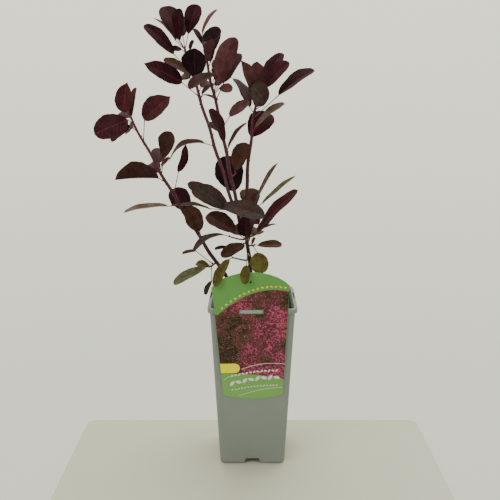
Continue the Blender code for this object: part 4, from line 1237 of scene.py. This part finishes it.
@dataclass
class Plant:
    """The bush: limbs with their bark, and foliage masses of twigs and leaves.

    The swellings stand at the leaves' joints. Ridges and pits are shares of the radius.
    """

    fine_step: float = 0.7 * MM
    bark_sides: int = 18
    bark_extra: float = 0.55 * MM
    swelling: float = 0.5 * MM
    swelling_length: float = 1.8 * MM
    ridge: float = 0.05
    ridge_length: float = 2.2 * MM
    ridge_stretch: Triple = (1, 1, 0.3)
    pit: float = 0.03
    pit_length: float = 1.1 * MM
    petiole_sides: int = 9
    bud_length: float = 2.6 * MM
    bud_radius: float = 0.65 * MM
    bud_pace: float = 10 * MM
    bud_turn: float = 137.5
    bud_span: Pair = (0.3, 0.98)
    bud_sunk: float = 0.8
    bud_spread: float = 0.7
    axil_out: float = 0.7
    axil_up: float = 0.9 * MM
    axil_rise: float = 0.8
    tip_length: float = 4.5 * MM
    limb_tip: float = 1.15
    twig_tip: float = 1.1
    bark: BarkFinish = BarkFinish()
    petiole: PetioleFinish = PetioleFinish()

    def __post_init__(self) -> None:
        """Grow the plan and wire the finishes that every piece shares."""
        self.stems = grow_stems()
        self.masses = Growth().leaves(self.stems)
        self.bark_material = self.bark.material()
        self.petiole_material = self.petiole.material()
        self.skins: dict[str, Material] = {}

    def skin_material(self, side: str, tint: Tint, factor: float) -> Material:
        """The material of one side of a leaf in one tint and shade."""
        name = f"leaf_{tint.value}_{side}_{round(factor * 100)}"
        if name not in self.skins:
            colours = TINTS[tint]
            self.skins[name] = LeafFinish(name, shade(getattr(colours, side), factor),
                                          shade(colours.rib, factor)).material()
        return self.skins[name]

    def bark_rings(self, name: str, stem: Stem) -> Array:
        """A limb's or twig's skin: its taper, the swellings at its leaves, and fine relief.

        The radius is the plan's, plus a limb's extra bark, which is sin(pi s)^0.6 thick
        along it, plus a bell of the swelling's height at each leaf on the leaf's own
        side, times one plus waves along and round it.

        Args:
            name: The limb or twig, whose name seeds the relief.
            stem: Its path.

        Returns:
            Rings of points.
        """
        length = stem.travel[-1]
        count = max(8, round(length / self.fine_step))
        travel = np.linspace(0, length, count)
        path = np.stack([np.interp(travel, stem.travel, stem.points[:, axis]) for axis in range(3)], -1)
        radii = np.interp(travel, stem.travel, stem.radii)
        if name in LIMBS:
            share = travel / length
            radii = radii + self.bark_extra * np.sin(math.pi * share) ** 0.6
        outward = sweep(path, np.ones(count), self.bark_sides) - path[:, None]
        radius = np.repeat(radii[:, None], self.bark_sides, 1)
        for at, leaving in stem.joints:
            bell = np.exp(-((travel - at * length) / self.swelling_length) ** 2)[:, None]
            radius = radius + self.swelling * bell * np.clip(outward @ leaving, 0, 1) ** 2
        skin = path[:, None] + outward * radii[:, None, None]
        seed = sum(map(ord, name))
        radius = radius * (1 + self.ridge * waves(skin * self.ridge_stretch, self.ridge_length, seed)
                           + self.pit * waves(skin, self.pit_length, seed + 1))
        return path[:, None] + outward * radius[..., None]

    def add_shoot(self, joined: Joined, name: str) -> None:
        """A limb or twig from its root to its tip, with a bud at the tip of all but the trunk."""
        stem = self.stems[name]
        joined.tube(self.bark_rings(name, stem))
        if name == "trunk":
            return
        start = stem.points[-1] - stem.runs[-1] * MM
        swell, mark = (self.limb_tip, 1) if name in LIMBS else (self.twig_tip, 0)
        radius = stem.radii[-1] * swell
        joined.tube(bud(start, stem.runs[-1], self.tip_length, radius, sides=10, rings=9), mark)

    def add_buds(self, joined: Joined, stem: Stem) -> None:
        """Small buds up a limb, each a golden angle further round it than the last."""
        for index, share in enumerate(np.arange(*self.bud_span, self.bud_pace / stem.travel[-1])):
            point, run, radius = stem.at(share)
            level = unit(np.cross(run, (0, 1.0, 0)))
            turn = math.radians(self.bud_turn * index)
            side = level * math.cos(turn) + np.cross(run, level) * math.sin(turn)
            root = point + side * radius * self.bud_sunk
            joined.tube(bud(root, unit(side * self.bud_spread + run), self.bud_length, self.bud_radius))

    def make_limb(self, name: str) -> None:
        """One limb, with small buds up all but the trunk."""
        joined = Joined()
        self.add_shoot(joined, name)
        if name != "trunk":
            self.add_buds(joined, self.stems[name])
        dress(joined.build(f"{name}_bark", [self.bark_material, self.petiole_material]), "bark", name)

    def add_petiole(self, joined: Joined, blade: Blade) -> None:
        """A leaf's petiole, and the bud in the angle above it."""
        joined.tube(sweep(*blade.stalk(), self.petiole_sides))
        up = direction(90, 0)
        root = blade.root + blade.leaving * (blade.stem_radius * self.axil_out) + up * self.axil_up
        joined.tube(bud(root, unit(blade.leaving + up * self.axil_rise), self.bud_length, self.bud_radius))

    def make_mass(self, name: str, blades: list[Blade], chance: random.Random) -> None:
        """One foliage mass: its leaves in one piece, its twig, petioles and buds in another.

        Args:
            name: The limb or twig that carries the mass.
            blades: Its leaves.
            chance: Source of shades and unevenness.
        """
        leaves, twigs = Joined(), Joined()
        materials: list[Material] = []
        for blade in blades:
            factor = chance.choice(SHADES)
            marks = []
            for side in ("upper", "lower", "rib"):
                material = self.skin_material(side, blade.leaf.tint, factor)
                if material not in materials:
                    materials.append(material)
                marks.append(materials.index(material))
            upper, lower, places = blade.skin(chance)
            columns = np.full(blade.across_count - 1, marks[0])
            middle = blade.across_count // 2
            columns[middle - 1:middle + 1] = marks[2]
            leaves.slab(upper, lower, columns, marks[1], places)
            self.add_petiole(twigs, blade)
        node = f"{name}_crown" if name in LIMBS else name
        if name in TWIGS:
            self.add_shoot(twigs, name)
        dress(leaves.build(f"{node}_leaves", materials, sharp=75), "foliage", node)
        dress(twigs.build(f"{node}_twigs", [self.petiole_material]), "bark", node)

    def build(self) -> None:
        """Build every limb and mass."""
        for name in LIMBS:
            self.make_limb(name)
        chance = random.Random(DETAIL_SEED)
        for name, blades in self.masses.items():
            self.make_mass(name, blades, chance)


@dataclass
class NurseryPot:
    """The pot: a tapered square shell with a stepped collar, a strap and drained feet.

    Rows and columns are in mm: the underside's half widths, the heights up the wall and
    down the lining, and the places along half a side. Of the first pocket_rows rings,
    which reach the wall's third row, the pockets shape all those outside the pad.
    """

    place: LabelPlace = LABEL_PLACE
    wall: float = 1.6 * MM
    floor_top: float = 9 * MM
    floor_edge: float = 0.8 * MM
    floor_corner: float = 0.6 * MM
    corner: float = 7 * MM
    corner_steps: int = 9
    foot_round: float = 3.5 * MM
    foot_steps: int = 6
    pocket_high: float = 6.5 * MM
    pocket_foot: float = 11 * MM
    pocket_top: float = 8 * MM
    pocket_rows: int = 21
    pad: float = 16 * MM
    soften: float = 18 * MM
    slot_deep: float = 4 * MM
    slot_half: float = 15.01 * MM
    slot_back: float = 8 * MM
    slot_rows: Pair = (54.9 * MM, 53.3 * MM)
    slot_edge: float = 0.1 * MM
    strap_size: Pair = (28.8 * MM, 4.4 * MM)
    strap_proud: float = 1.9 * MM
    # How much lighter than the pot's plastic the strap is painted: a painted highlight, as if the bar caught
    # more light.
    strap_painted_light: float = 1.3
    under_rows: tuple[float, ...] = (15.9, 16.0, 20.0, 21.5, 23.0, 24.5, 26.0, 27.5, 29.0, 30.5, 32.0, 35.0)
    under_corner: float = 0.15
    wall_rows: tuple[float, ...] = (5, 7, 9, 12, 18, 45, 80, 120, 160, 190, 205, 208.6)
    lining_rows: tuple[float, ...] = (205, 198, 60, 9.8)
    columns: tuple[float, ...] = (1.5, 3, 4.5, 6, 7.0, 7.1, 8.0, 9.5, 11.0, 13, 16, 19.5, 23.0, 23.1,
                                  27, 31, 35, 39, 43)

    on_corner = 1.0

    def reference_reach(self) -> float:
        """Half the straight stretch of a side at the collar."""
        return self.place.wall_top_half - self.corner

    def marks_along(self) -> Array:
        """Places along one side at which the shell has a column of points."""
        half = np.append(np.array(self.columns) * MM, self.reference_reach())
        return np.concatenate((-half[::-1], (0,), half))

    def ring(self, half: float, corner: float) -> tuple[Array, Array]:
        """Points round a rounded square, and each point's place along its side.

        Columns within the pocket's width keep their place on every ring, and those
        beyond it spread evenly to the ring's own corner.

        Args:
            half: Half the square's width.
            corner: Radius of its corners.

        Returns:
            The points in XY, and the places along, with the mark for a corner on corners.
        """
        along = self.marks_along()
        fixed, reach = self.pocket_foot, half - corner
        spread = fixed + (np.abs(along) - fixed) * (reach - fixed) / (self.reference_reach() - fixed)
        along = np.where(np.abs(along) > fixed, np.sign(along) * spread, along)
        turns = np.linspace(0, math.pi / 2, self.corner_steps + 2)[1:-1]
        x = np.concatenate((along, reach + corner * np.sin(turns)))
        y = -np.concatenate((np.full(along.size, half), reach + corner * np.cos(turns)))
        points = [np.stack(turned(x, y, side * math.pi / 2), -1) for side in range(4)]
        return np.vstack(points), np.tile(np.append(along, np.full(turns.size, self.on_corner)), 4)

    def levels(self) -> list[Triple]:
        """Half width, corner and height of each ring of the shell.

        They run from the underside's middle outwards, up the wall, over the rim and
        down inside to the floor's middle.
        """
        place, top = self.place, self.place.pot_height
        foot, step = place.pot_foot_half, top - place.collar
        under = [(half * MM, self.under_corner * half * MM) for half in self.under_rows]
        rows = [(half, corner, 0.0) for half, corner in under]
        for turn in np.linspace(0, math.pi / 2, self.foot_steps):
            inwards = self.foot_round * (1 - math.sin(turn))
            rows.append((foot - inwards, self.corner - inwards, self.foot_round * (1 - math.cos(turn))))
        rows += [(place.wall_half(z * MM), self.corner, z * MM) for z in self.wall_rows]
        outer, wall, (slot_out, slot_in) = place.rim_half, place.wall_half(step), self.slot_rows
        collar = ((wall + 0.12 * MM, step - 0.1 * MM), (wall + 0.5 * MM, step), (outer - 0.6 * MM, step),
                  (outer - 0.18 * MM, step + 0.15 * MM), (outer, step + 0.6 * MM),
                  (outer, top - 0.8 * MM), (outer - 0.2 * MM, top - 0.2 * MM), (outer - 0.7 * MM, top),
                  (slot_out + self.slot_edge, top), (slot_out, top), (slot_in, top),
                  (slot_in - self.slot_edge, top), (52.5 * MM, top), (51.95 * MM, top - 0.15 * MM),
                  (51.8 * MM, top - 0.6 * MM))
        rows += [(half, self.corner + half - place.wall_top_half, z) for half, z in collar]
        lining = self.corner - self.wall
        rows += [(place.wall_half(z * MM) - self.wall, lining, z * MM) for z in self.lining_rows]
        floor = place.wall_half(self.floor_top) - self.wall - self.floor_edge
        rows.append((floor, lining - self.floor_corner, self.floor_top))
        return rows + [(half, corner, self.floor_top) for half, corner in reversed(under[1:-1])]

    def heights(self, half: float, z: float, along: Array, pocketed: bool) -> Array:
        """The height of each point of a ring, after the pockets and the rim's grooves.

        A pocket's ceiling falls from its full height at its top's half width to nothing
        at its foot's, and the wall's lower rows rise with it. A groove sinks the rings
        whose half width lies between its two rows, one under the collar among them, in
        its own columns on the pot's left and right sides.

        Args:
            half: The ring's half width.
            z: Its height.
            along: Each point's place along its side.
            pocketed: Whether the pockets shape it.

        Returns:
            One height for each point.
        """
        heights = np.full(along.size, z)
        if pocketed and half >= self.pad:
            slope = (self.pocket_foot - np.abs(along)) / (self.pocket_foot - self.pocket_top)
            lift = self.pocket_high * np.clip(slope, 0, 1) * (along < self.on_corner)
            heights = heights + lift * (1 - z / self.soften)
        if self.slot_rows[1] <= half <= self.slot_rows[0] and z > self.soften:
            sides = along.reshape(4, -1)
            grooved = np.zeros(sides.shape, bool)
            for side, sign in ((1, 1), (3, -1)):
                grooved[side] = np.abs(sides[side] - sign * self.slot_back) < self.slot_half
            heights = heights - self.slot_deep * grooved.ravel()
        return heights

    def build(self) -> None:
        """Build the shell and the moulded strap."""
        rings = []
        for index, (half, corner, z) in enumerate(self.levels()):
            flat, along = self.ring(half, corner)
            rings.append(np.column_stack((flat, self.heights(half, z, along, index < self.pocket_rows))))
        plastic = PotPlastic()
        # The strap takes a lighter copy of the pot's plastic. This is painted light on the bar, not wear.
        strap_plastic_lit = PotPlastic("pot_strap_lit", shade(plastic.base, self.strap_painted_light))
        joined = Joined()
        joined.tube(np.stack(rings))
        self.add_strap(joined)
        materials = [plastic.material(), strap_plastic_lit.material()]
        dress(joined.build("pot_shell", materials, sharp=35), "pot_plastic", "pot")

    def add_strap(self, joined: Joined) -> None:
        """The bar across the collar that holds the label: a rounded section carried along X.

        The section is a superellipse of the power 4, which shrinks towards both ends of
        the bar as 1/4 + 3/4 (1 - s^10)^(1/4).
        """
        share = np.linspace(-1, 1, 25)
        size = 0.25 + 0.75 * (1 - np.abs(share) ** 10) ** 0.25
        section = squarish(count=28, power=4) * (self.strap_proud, self.strap_size[1] / 2)
        rings = np.empty((share.size, len(section), 3))
        rings[..., 0] = (self.place.strap_x + share * self.strap_size[0] / 2)[:, None]
        rings[..., 1:] = (-self.place.rim_half, self.place.collar_z) + section * size[:, None, None]
        joined.tube(rings, 1)


@dataclass
class PotSoil:
    """The soil: a crumbled top with bark fibres and a few pale grains.

    A relief row is a wavelength in mm, a height as a share of the relief, and a seed.
    """

    half: float = 50.6 * MM
    top: float = SOIL_TOP
    foot: float = 9.3 * MM
    foot_half: float = 40.5 * MM
    top_drop: float = 1.2 * MM
    relief_height: float = 0.55 * MM
    relief_rows: tuple[Triple, ...] = ((24, 0.9, 3), (8, 0.5, 4), (3, 0.25, 5))
    crumbs: int = 520
    crumb_size: Pair = (0.7, 2.3)
    grains: int = 46
    grain_size: Pair = (0.7, 1.5)
    fibres: int = 60
    crumb_margin: float = 2.5 * MM
    crumb_uneven: float = 0.22
    crumb_flat: Pair = (0.6, 1.0)
    crumb_rise: float = 0.2
    crumb_pole: float = 0.35
    fibre_length: Pair = (4, 10)
    fibre_radius: Pair = (0.22, 0.42)
    fibre_margin: float = 8 * MM
    fibre_bow: float = 1.2 * MM
    fibre_rise: float = 0.3 * MM

    def build(self) -> None:
        """Build the top, the body below it and the loose crumbs."""
        joined = Joined()
        finishes = [SoilFinish("soil_peat", (0.012, 0.008, 0.006), (0.042, 0.026, 0.017)),
                    SoilFinish("soil_grain", (0.46, 0.44, 0.40), (0.66, 0.64, 0.58)),
                    SoilFinish("soil_fibre", (0.050, 0.028, 0.016), (0.110, 0.066, 0.038))]
        self.add_body(joined)
        chance = np.random.default_rng(SEED)
        self.add_lumps(joined, chance, self.crumbs, self.crumb_size, 0)
        self.add_lumps(joined, chance, self.grains, self.grain_size, 1)
        self.add_fibres(joined, chance)
        dress(joined.build("soil_top", [finish.material() for finish in finishes], sharp=60),
              "soil", "soil")

    def relief(self, x: Array, y: Array) -> Array:
        """The top's height: three sizes of wave about a level a little below the solid's top."""
        places = np.stack((x, y), -1)
        rough = sum(height * waves(places, length * MM, seed) for length, height, seed in self.relief_rows)
        return self.top - self.top_drop + rough * self.relief_height

    def add_body(self, joined: Joined) -> None:
        """Rings of a rounded square: the underside, the sides and the crumbled top."""
        shape = squarish(count=160, power=14)
        rows = [(0.3 * self.foot_half, self.foot), (0.98 * self.foot_half, self.foot),
                (self.foot_half, self.foot + MM), (self.half, self.top - 3 * MM)]
        rings = [np.column_stack((shape * half, np.full(len(shape), z))) for half, z in rows]
        for share in np.linspace(0.995, 0.01, 58):
            flat = shape * self.half * share
            rings.append(np.column_stack((flat, self.relief(flat[:, 0], flat[:, 1]))))
        joined.tube(np.stack(rings))

    def add_lumps(self, joined: Joined, chance: np.random.Generator, count: int,
                  size: Pair, mark: int) -> None:
        """Crumbs: balls of uneven radius, flattened and half sunk.

        Args:
            joined: Mesh that takes them.
            chance: Source of their places and shapes.
            count: How many there are.
            size: Least and greatest width, in mm.
            mark: Number of their material.
        """
        polar, turns = np.meshgrid(np.linspace(self.crumb_pole, math.pi - self.crumb_pole, 5),
                                   np.linspace(0, 2 * math.pi, 8, endpoint=False), indexing="ij")
        ball = np.stack((np.sin(polar) * np.cos(turns), np.sin(polar) * np.sin(turns), -np.cos(polar)), -1)
        reach = self.half - self.crumb_margin
        for x, y in chance.uniform(-reach, reach, (count, 2)):
            radius = chance.uniform(*size) * MM / 2
            uneven = chance.uniform(-self.crumb_uneven, self.crumb_uneven, ball.shape[:2] + (1,))
            shape = ball * (1 + uneven) * chance.uniform(*self.crumb_flat, 3) * radius
            z = float(self.relief(np.array(x), np.array(y))) + self.crumb_rise * radius
            joined.tube(shape + (x, y, z), mark)

    def add_fibres(self, joined: Joined, chance: np.random.Generator) -> None:
        """Bark fibres: thin rods with a parabolic bow that lie on the crumbs."""
        reach = self.half - self.fibre_margin
        share = np.linspace(-0.5, 0.5, 7)
        for x, y in chance.uniform(-reach, reach, (self.fibres, 2)):
            turn, length = chance.uniform(0, FULL_TURN), chance.uniform(*self.fibre_length) * MM
            bow = chance.uniform(-1, 1) * self.fibre_bow * (share ** 2 * 4 - 0.3)
            along, aside = turned(share * length, bow, turn)
            up = self.relief(x + along, y + aside) + self.fibre_rise
            path = np.stack((x + along, y + aside, up), -1)
            radii = chance.uniform(*self.fibre_radius) * MM * np.cos(share * 2.6)
            joined.tube(sweep(path, radii, 6), 2)


class Ink(IntEnum):
    """The label's printing inks, and the painted shadow in its slit, by the number of their material."""

    BLOOM = 0
    YELLOW = 1
    WHITE = 2
    # Not an ink: a dark film that paints the shadow inside the slit round the tongue.
    DARK = 3


@dataclass
class PlantLabel:
    """The hanging label: a green card with a generic bloom field, a tab and leaf marks.

    Its own plane has u to the right and v up from its foot, and every print is a thin
    film on the card's face. An arc is three points in mm and a width. A garland is a
    count of leaf marks, the height of its left end, its rise and the marks' length.
    """

    place: LabelPlace = LABEL_PLACE
    film: float = 0.05 * MM
    edge: float = 0.35 * MM
    window: Pair = (15.3 * MM, 3.1 * MM)
    field_peak: Pair = (27 * MM, 146.8 * MM)
    field_bend: float = 6.71
    field_foot: Pair = (36 * MM, 27 * MM)
    field_bow: float = 2.5 * MM
    tab: Triple = (36.5 * MM, 49.5 * MM, -16 * MM)
    tongue: Pair = (12.5 * MM, 91.7 * MM)
    tongue_deep: float = 9 * MM
    # Width of the painted shadow line that stands for the slit.
    slit: float = 0.35 * MM
    arcs: tuple = (
        (((-14, 41.5), (10, 48.0), (41, 47.5)), 0.55 * MM),
        (((-19, 4.5), (9, 12.3), (37, 15.5)), 0.55 * MM),
        (((-37, 26.5), (-33, 29.8), (-28, 32.6)), 0.7 * MM),
    )
    garlands: tuple = ((13, 31.5, 7.5, 4.4), (8, 21.0, 8.5, 8.6), (15, 12.5, 6.0, 3.0))
    garland_span: Pair = (-30, 34)
    garland_shares: Pair = (0.06, 0.94)
    garland_turn: Pair = (0.32, 0.55)
    border_span: Pair = (-36, 42)
    border_swing: float = 0.5
    border_marks: int = 15
    border_gap: float = 4.2 * MM
    border_length: float = 3.6 * MM

    def field_top(self, u: Array) -> Array:
        """Upper border of the picture field: a parabola about its peak."""
        return self.field_peak[1] - self.field_bend * (u - self.field_peak[0]) ** 2

    def field_low(self, u: Array) -> Array:
        """Lower border of the picture field: a shallow sine arc that falls to the right."""
        share = (u + self.place.foot_half) / (2 * self.place.foot_half)
        return between(self.field_foot, share) + self.field_bow * np.sin(math.pi * np.clip(share, 0, 1))

    def lay(self, joined: Joined, u: Array, v: Array, layer: int, ink: Ink) -> None:
        """Lay a grid of the label's plane on its face as a thin film.

        Args:
            joined: Mesh that takes it.
            u: Places to the right.
            v: Places up from the foot.
            layer: How many films lie below it.
            ink: What it is printed in.
        """
        front = self.place.thick / 2 + self.film * (layer + 1)
        upper = self.place.put(np.stack((u, v, np.full(u.shape, front)), -1))
        lower = self.place.put(np.stack((u, v, np.full(u.shape, front - self.film * 1.5)), -1))
        joined.slab(upper, lower, np.full(u.shape[1] - 1, int(ink)), int(ink))

    def patch(self, joined: Joined, left: Line, right: Line, low: Line, high: Line) -> None:
        """Lay the part of the picture field between two side lines and two borders.

        Args:
            joined: Mesh that takes the patch.
            left: Left end of each row, for its height.
            right: Right end of each row, for its height.
            low: Lower border, for a place to the right.
            high: Upper border, for a place to the right.
        """
        across = np.linspace(0, 1, 61)[None, :]
        up = np.linspace(0, 1, 25)[:, None]
        v = np.full((up.size, across.size), self.place.height)
        for _ in range(4):
            u = left(v) * (1 - across) + right(v) * across
            v = low(u) * (1 - up) + high(u) * up
        self.lay(joined, u, v, 0, Ink.BLOOM)

    def ribbon(self, joined: Joined, path: Array, width: float, ink: Ink) -> None:
        """Lay a line of constant width along a path in the label's plane."""
        runs = unit(np.gradient(path, axis=0))
        side = np.stack((-runs[:, 1], runs[:, 0]), -1) * width / 2
        grid = np.stack((path + side, path - side))
        self.lay(joined, grid[..., 0], grid[..., 1], 2, ink)

    def leaf_mark(self, joined: Joined, at: Pair, turn: float, length: float,
                  layer: int, ink: Ink) -> None:
        """Lay a plain pointed leaf shape: half its width is 0.24 sin(pi s)^0.8 + 0.01 of its length."""
        share = np.linspace(0.0, 1.0, 15)
        half = (0.24 * np.sin(math.pi * share) ** 0.8 + 0.01) * length
        x = (share - 0.5) * length
        u, v = turned(np.stack((x, x)), np.stack((-half, half)), turn)
        self.lay(joined, at[0] + u, at[1] + v, layer, ink)

    def build(self) -> None:
        """Dress the card and lay its prints."""
        card = frame["nodes"]["label"]
        card.data.materials.clear()
        card.data.materials.append(GreenInk().material())
        prints = Joined()
        self.add_field(prints)
        self.add_tab(prints)
        self.add_arcs(prints)
        self.add_garlands(prints)
        self.add_border(prints)
        # The last material is painted shadow for the slit, not a printing ink.
        inks = {Ink.BLOOM: BloomPrint(), Ink.YELLOW: InkFinish("label_yellow", (1.0, 0.86, 0.0)),
                Ink.WHITE: InkFinish("label_white", (0.72, 0.74, 0.68)),
                Ink.DARK: InkFinish("label_slit_shadow", (0.030, 0.012, 0.014))}
        dress(prints.build("label_print", [inks[ink].material() for ink in Ink], sharp=40), "label")

    def add_field(self, joined: Joined) -> None:
        """The picture field in four patches that leave the strap's window open."""
        def left(v: Array) -> Array:
            """The card's left edge."""
            return -self.place.half(v) + self.edge

        def right(v: Array) -> Array:
            """The card's right edge."""
            return -left(v)

        def level(value: float) -> Line:
            """A straight line at one height or one place to the right."""
            return lambda places: np.full(np.shape(places), value)

        def below(height: float) -> Line:
            """The field's upper border where it is lower than a height."""
            return lambda u: np.minimum(self.field_top(u), height)

        wide, tall = self.window
        low, high = self.place.window_up - tall, self.place.window_up + tall
        self.patch(joined, left, right, level(high), lambda u: np.maximum(self.field_top(u), high))
        self.patch(joined, left, level(-wide), level(low), below(high))
        self.patch(joined, level(wide), right, level(low), level(high))
        self.patch(joined, left, right, self.field_low, below(low))

    def add_tab(self, joined: Joined) -> None:
        """The yellow tab, with a round right end."""
        low, high, end = self.tab
        radius = (high - low) / 2
        up = np.linspace(-1, 1, 21)[:, None]
        across = np.linspace(0, 1, 12)[None, :]
        v = (low + high) / 2 + up * radius + 0 * across
        right = end - radius + radius * np.sqrt(1 - up ** 2)
        u = (-self.place.half(v) + self.edge) * (1 - across) + right * across
        self.lay(joined, u, v, 1, Ink.YELLOW)

    def add_arcs(self, joined: Joined) -> None:
        """Thin white parabolas, and a painted shadow line where the slit runs round the label's tongue."""
        for points, width in self.arcs:
            right, up = np.array(points).T
            u = np.linspace(right[0], right[-1], 40)
            path = np.stack((u, np.polyval(np.polyfit(right, up, 2), u)), -1) * MM
            self.ribbon(joined, path, width, Ink.WHITE)
        # The slit is not cut. A dark film paints its shadow.
        half, foot = self.tongue
        start = self.place.window_up - self.window[1]
        turns = np.linspace(0, math.pi, 24)
        bowl = np.stack((-half * np.cos(turns), foot + self.tongue_deep * (1 - np.sin(turns))), -1)
        path = np.vstack(((-half, start), bowl, (half, start)))
        self.ribbon(joined, path, self.slit, Ink.DARK)

    def add_garlands(self, joined: Joined) -> None:
        """Rows of plain white leaf marks that rise to the right as a sine, turned to and fro."""
        for count, low, rise, length in self.garlands:
            for index, share in enumerate(np.linspace(*self.garland_shares, count)):
                u, v = between(self.garland_span, share), low + rise * math.sin(share * 1.9)
                turn = self.garland_turn[0] + self.garland_turn[1] * (-1) ** index
                self.leaf_mark(joined, (u * MM, v * MM), turn, length * MM, 2, Ink.WHITE)

    def add_border(self, joined: Joined) -> None:
        """Yellow leaf marks that follow the picture field's upper border."""
        for index, share in enumerate(np.linspace(0, 1, self.border_marks)):
            u = between(self.border_span, share) * MM
            v = float(self.field_top(np.array(u))) + self.border_gap
            slope = -2 * self.field_bend * (u - self.field_peak[0])
            turn = math.atan(slope) + self.border_swing * (-1) ** index
            self.leaf_mark(joined, (u, v), turn, self.border_length, 1, Ink.YELLOW)


@dataclass(frozen=True)
class SoftLight:
    """A large square area light: its place, its width and its power in watts."""

    name: str
    place: Triple
    size: float
    power: float

    def build(self, target: Triple) -> None:
        """Hang the light so that it faces the target."""
        data = bpy.data.lights.new(self.name, "AREA")
        data.size = self.size
        data.energy = self.power
        lamp = put_in_scene(self.name, data)
        lamp.location = self.place
        lamp.rotation_euler = (Vector(target) - lamp.location).to_track_quat("-Z", "Y").to_euler()


@dataclass
class Studio:
    """The camera at the photograph's angle, a pale table and soft light."""

    lens: float = 54.0
    sensor: float = 36.0
    camera: Triple = (-0.0031, -0.9417, 0.4847)
    pitch: float = CAMERA_PITCH
    table_back: float = 0.09
    table_half: float = 0.242
    table_long: float = 1.6
    table_corner: float = 0.015
    table_thick: float = 0.02
    table: Colour = (0.595, 0.60, 0.465)
    wall_high: Colour = (1.46, 1.44, 1.16)
    wall_low: Colour = (1.07, 1.08, 0.88)
    wall_rise: Pair = (-0.52, 0.20)
    room: Colour = (0.46, 0.46, 0.43)
    room_fade: Pair = (-0.4, 0.75)
    target: Triple = (0, 0, 0.3)
    lights: tuple[SoftLight, ...] = (
        SoftLight("key", (-0.9, -1.3, 1.35), 1.4, 17),
        SoftLight("fill", (1.2, -1.0, 0.7), 1.4, 6),
        SoftLight("top", (0.1, 0.4, 1.7), 1.2, 14),
    )

    def build(self) -> None:
        """Set up the camera, the table, the lights and the room."""
        data = bpy.data.cameras.new("photo_camera")
        data.lens = self.lens
        data.sensor_width = self.sensor
        camera = put_in_scene("photo_camera", data)
        camera.location = self.camera
        camera.rotation_euler = Euler((math.radians(90 - self.pitch), 0, 0))
        bpy.context.scene.camera = camera
        self.make_table()
        for light in self.lights:
            light.build(self.target)
        self.make_room()

    def make_room(self) -> None:
        """The light all round: a pale wall on the far side, fading into a dimmer room.

        The wall grows lighter with height, by the direction's Z, and fades by its Y,
        each as a smooth step.
        """
        world = bpy.data.worlds.new("room")
        world.use_nodes = True
        wiring = Wiring(world.node_tree)
        towards = wiring.node("TexCoord", {}).outputs["Generated"]
        split = wiring.node("SeparateXYZ", {"Vector": towards})

        def blend(axis: str, span: Pair, first: object, second: object) -> Socket:
            """Two colours mixed along an axis of the direction."""
            inputs = {"Value": split.outputs[axis], "From Min": span[0], "From Max": span[1]}
            fade = wiring.node("MapRange", inputs, interpolation_type="SMOOTHSTEP")
            return wiring.mix(fade.outputs["Result"], first, second)

        wall = blend("Z", self.wall_rise, self.wall_low, self.wall_high)
        background = world.node_tree.nodes["Background"]
        wiring.feed(background, {"Color": blend("Y", self.room_fade, self.room, wall)})
        bpy.context.scene.world = world

    def make_table(self) -> None:
        """A level slab with round corners whose back edge lies a little behind the pot."""
        steps = 9
        turns = np.radians(np.concatenate([np.linspace(first, first + 90, steps)
                                           for first in (-90, 0, 90, 180)]))
        corners = np.repeat(((1, -1), (1, 1), (-1, 1), (-1, -1)), steps, axis=0)
        outline = corners * (np.array((self.table_half, self.table_long / 2)) - self.table_corner)
        outline = outline + self.table_corner * np.stack((np.cos(turns), np.sin(turns)), -1)
        outline[:, 1] += self.table_back - self.table_long / 2
        rings = [np.column_stack((outline, np.full(len(outline), z))) for z in (-self.table_thick, 0.0)]
        joined = Joined()
        joined.tube(np.stack(rings))
        surface = Surface("table_top", self.table, roughness=0.6, specular=0.3)
        surface.colour(surface.tones(surface.noise(6, 3), self.table, (0.3, 0.98), (0.7, 1.02)))
        joined.build("table_top", [surface.material], sharp=30)


def main() -> None:
    """Build the pot, its soil and label, the plant and the studio."""
    logging.basicConfig(level=logging.INFO, format="%(name)s: %(message)s")
    Studio().build()
    NurseryPot().build()
    PotSoil().build()
    PlantLabel().build()
    Plant().build()


if __name__ == "__main__":
    main()
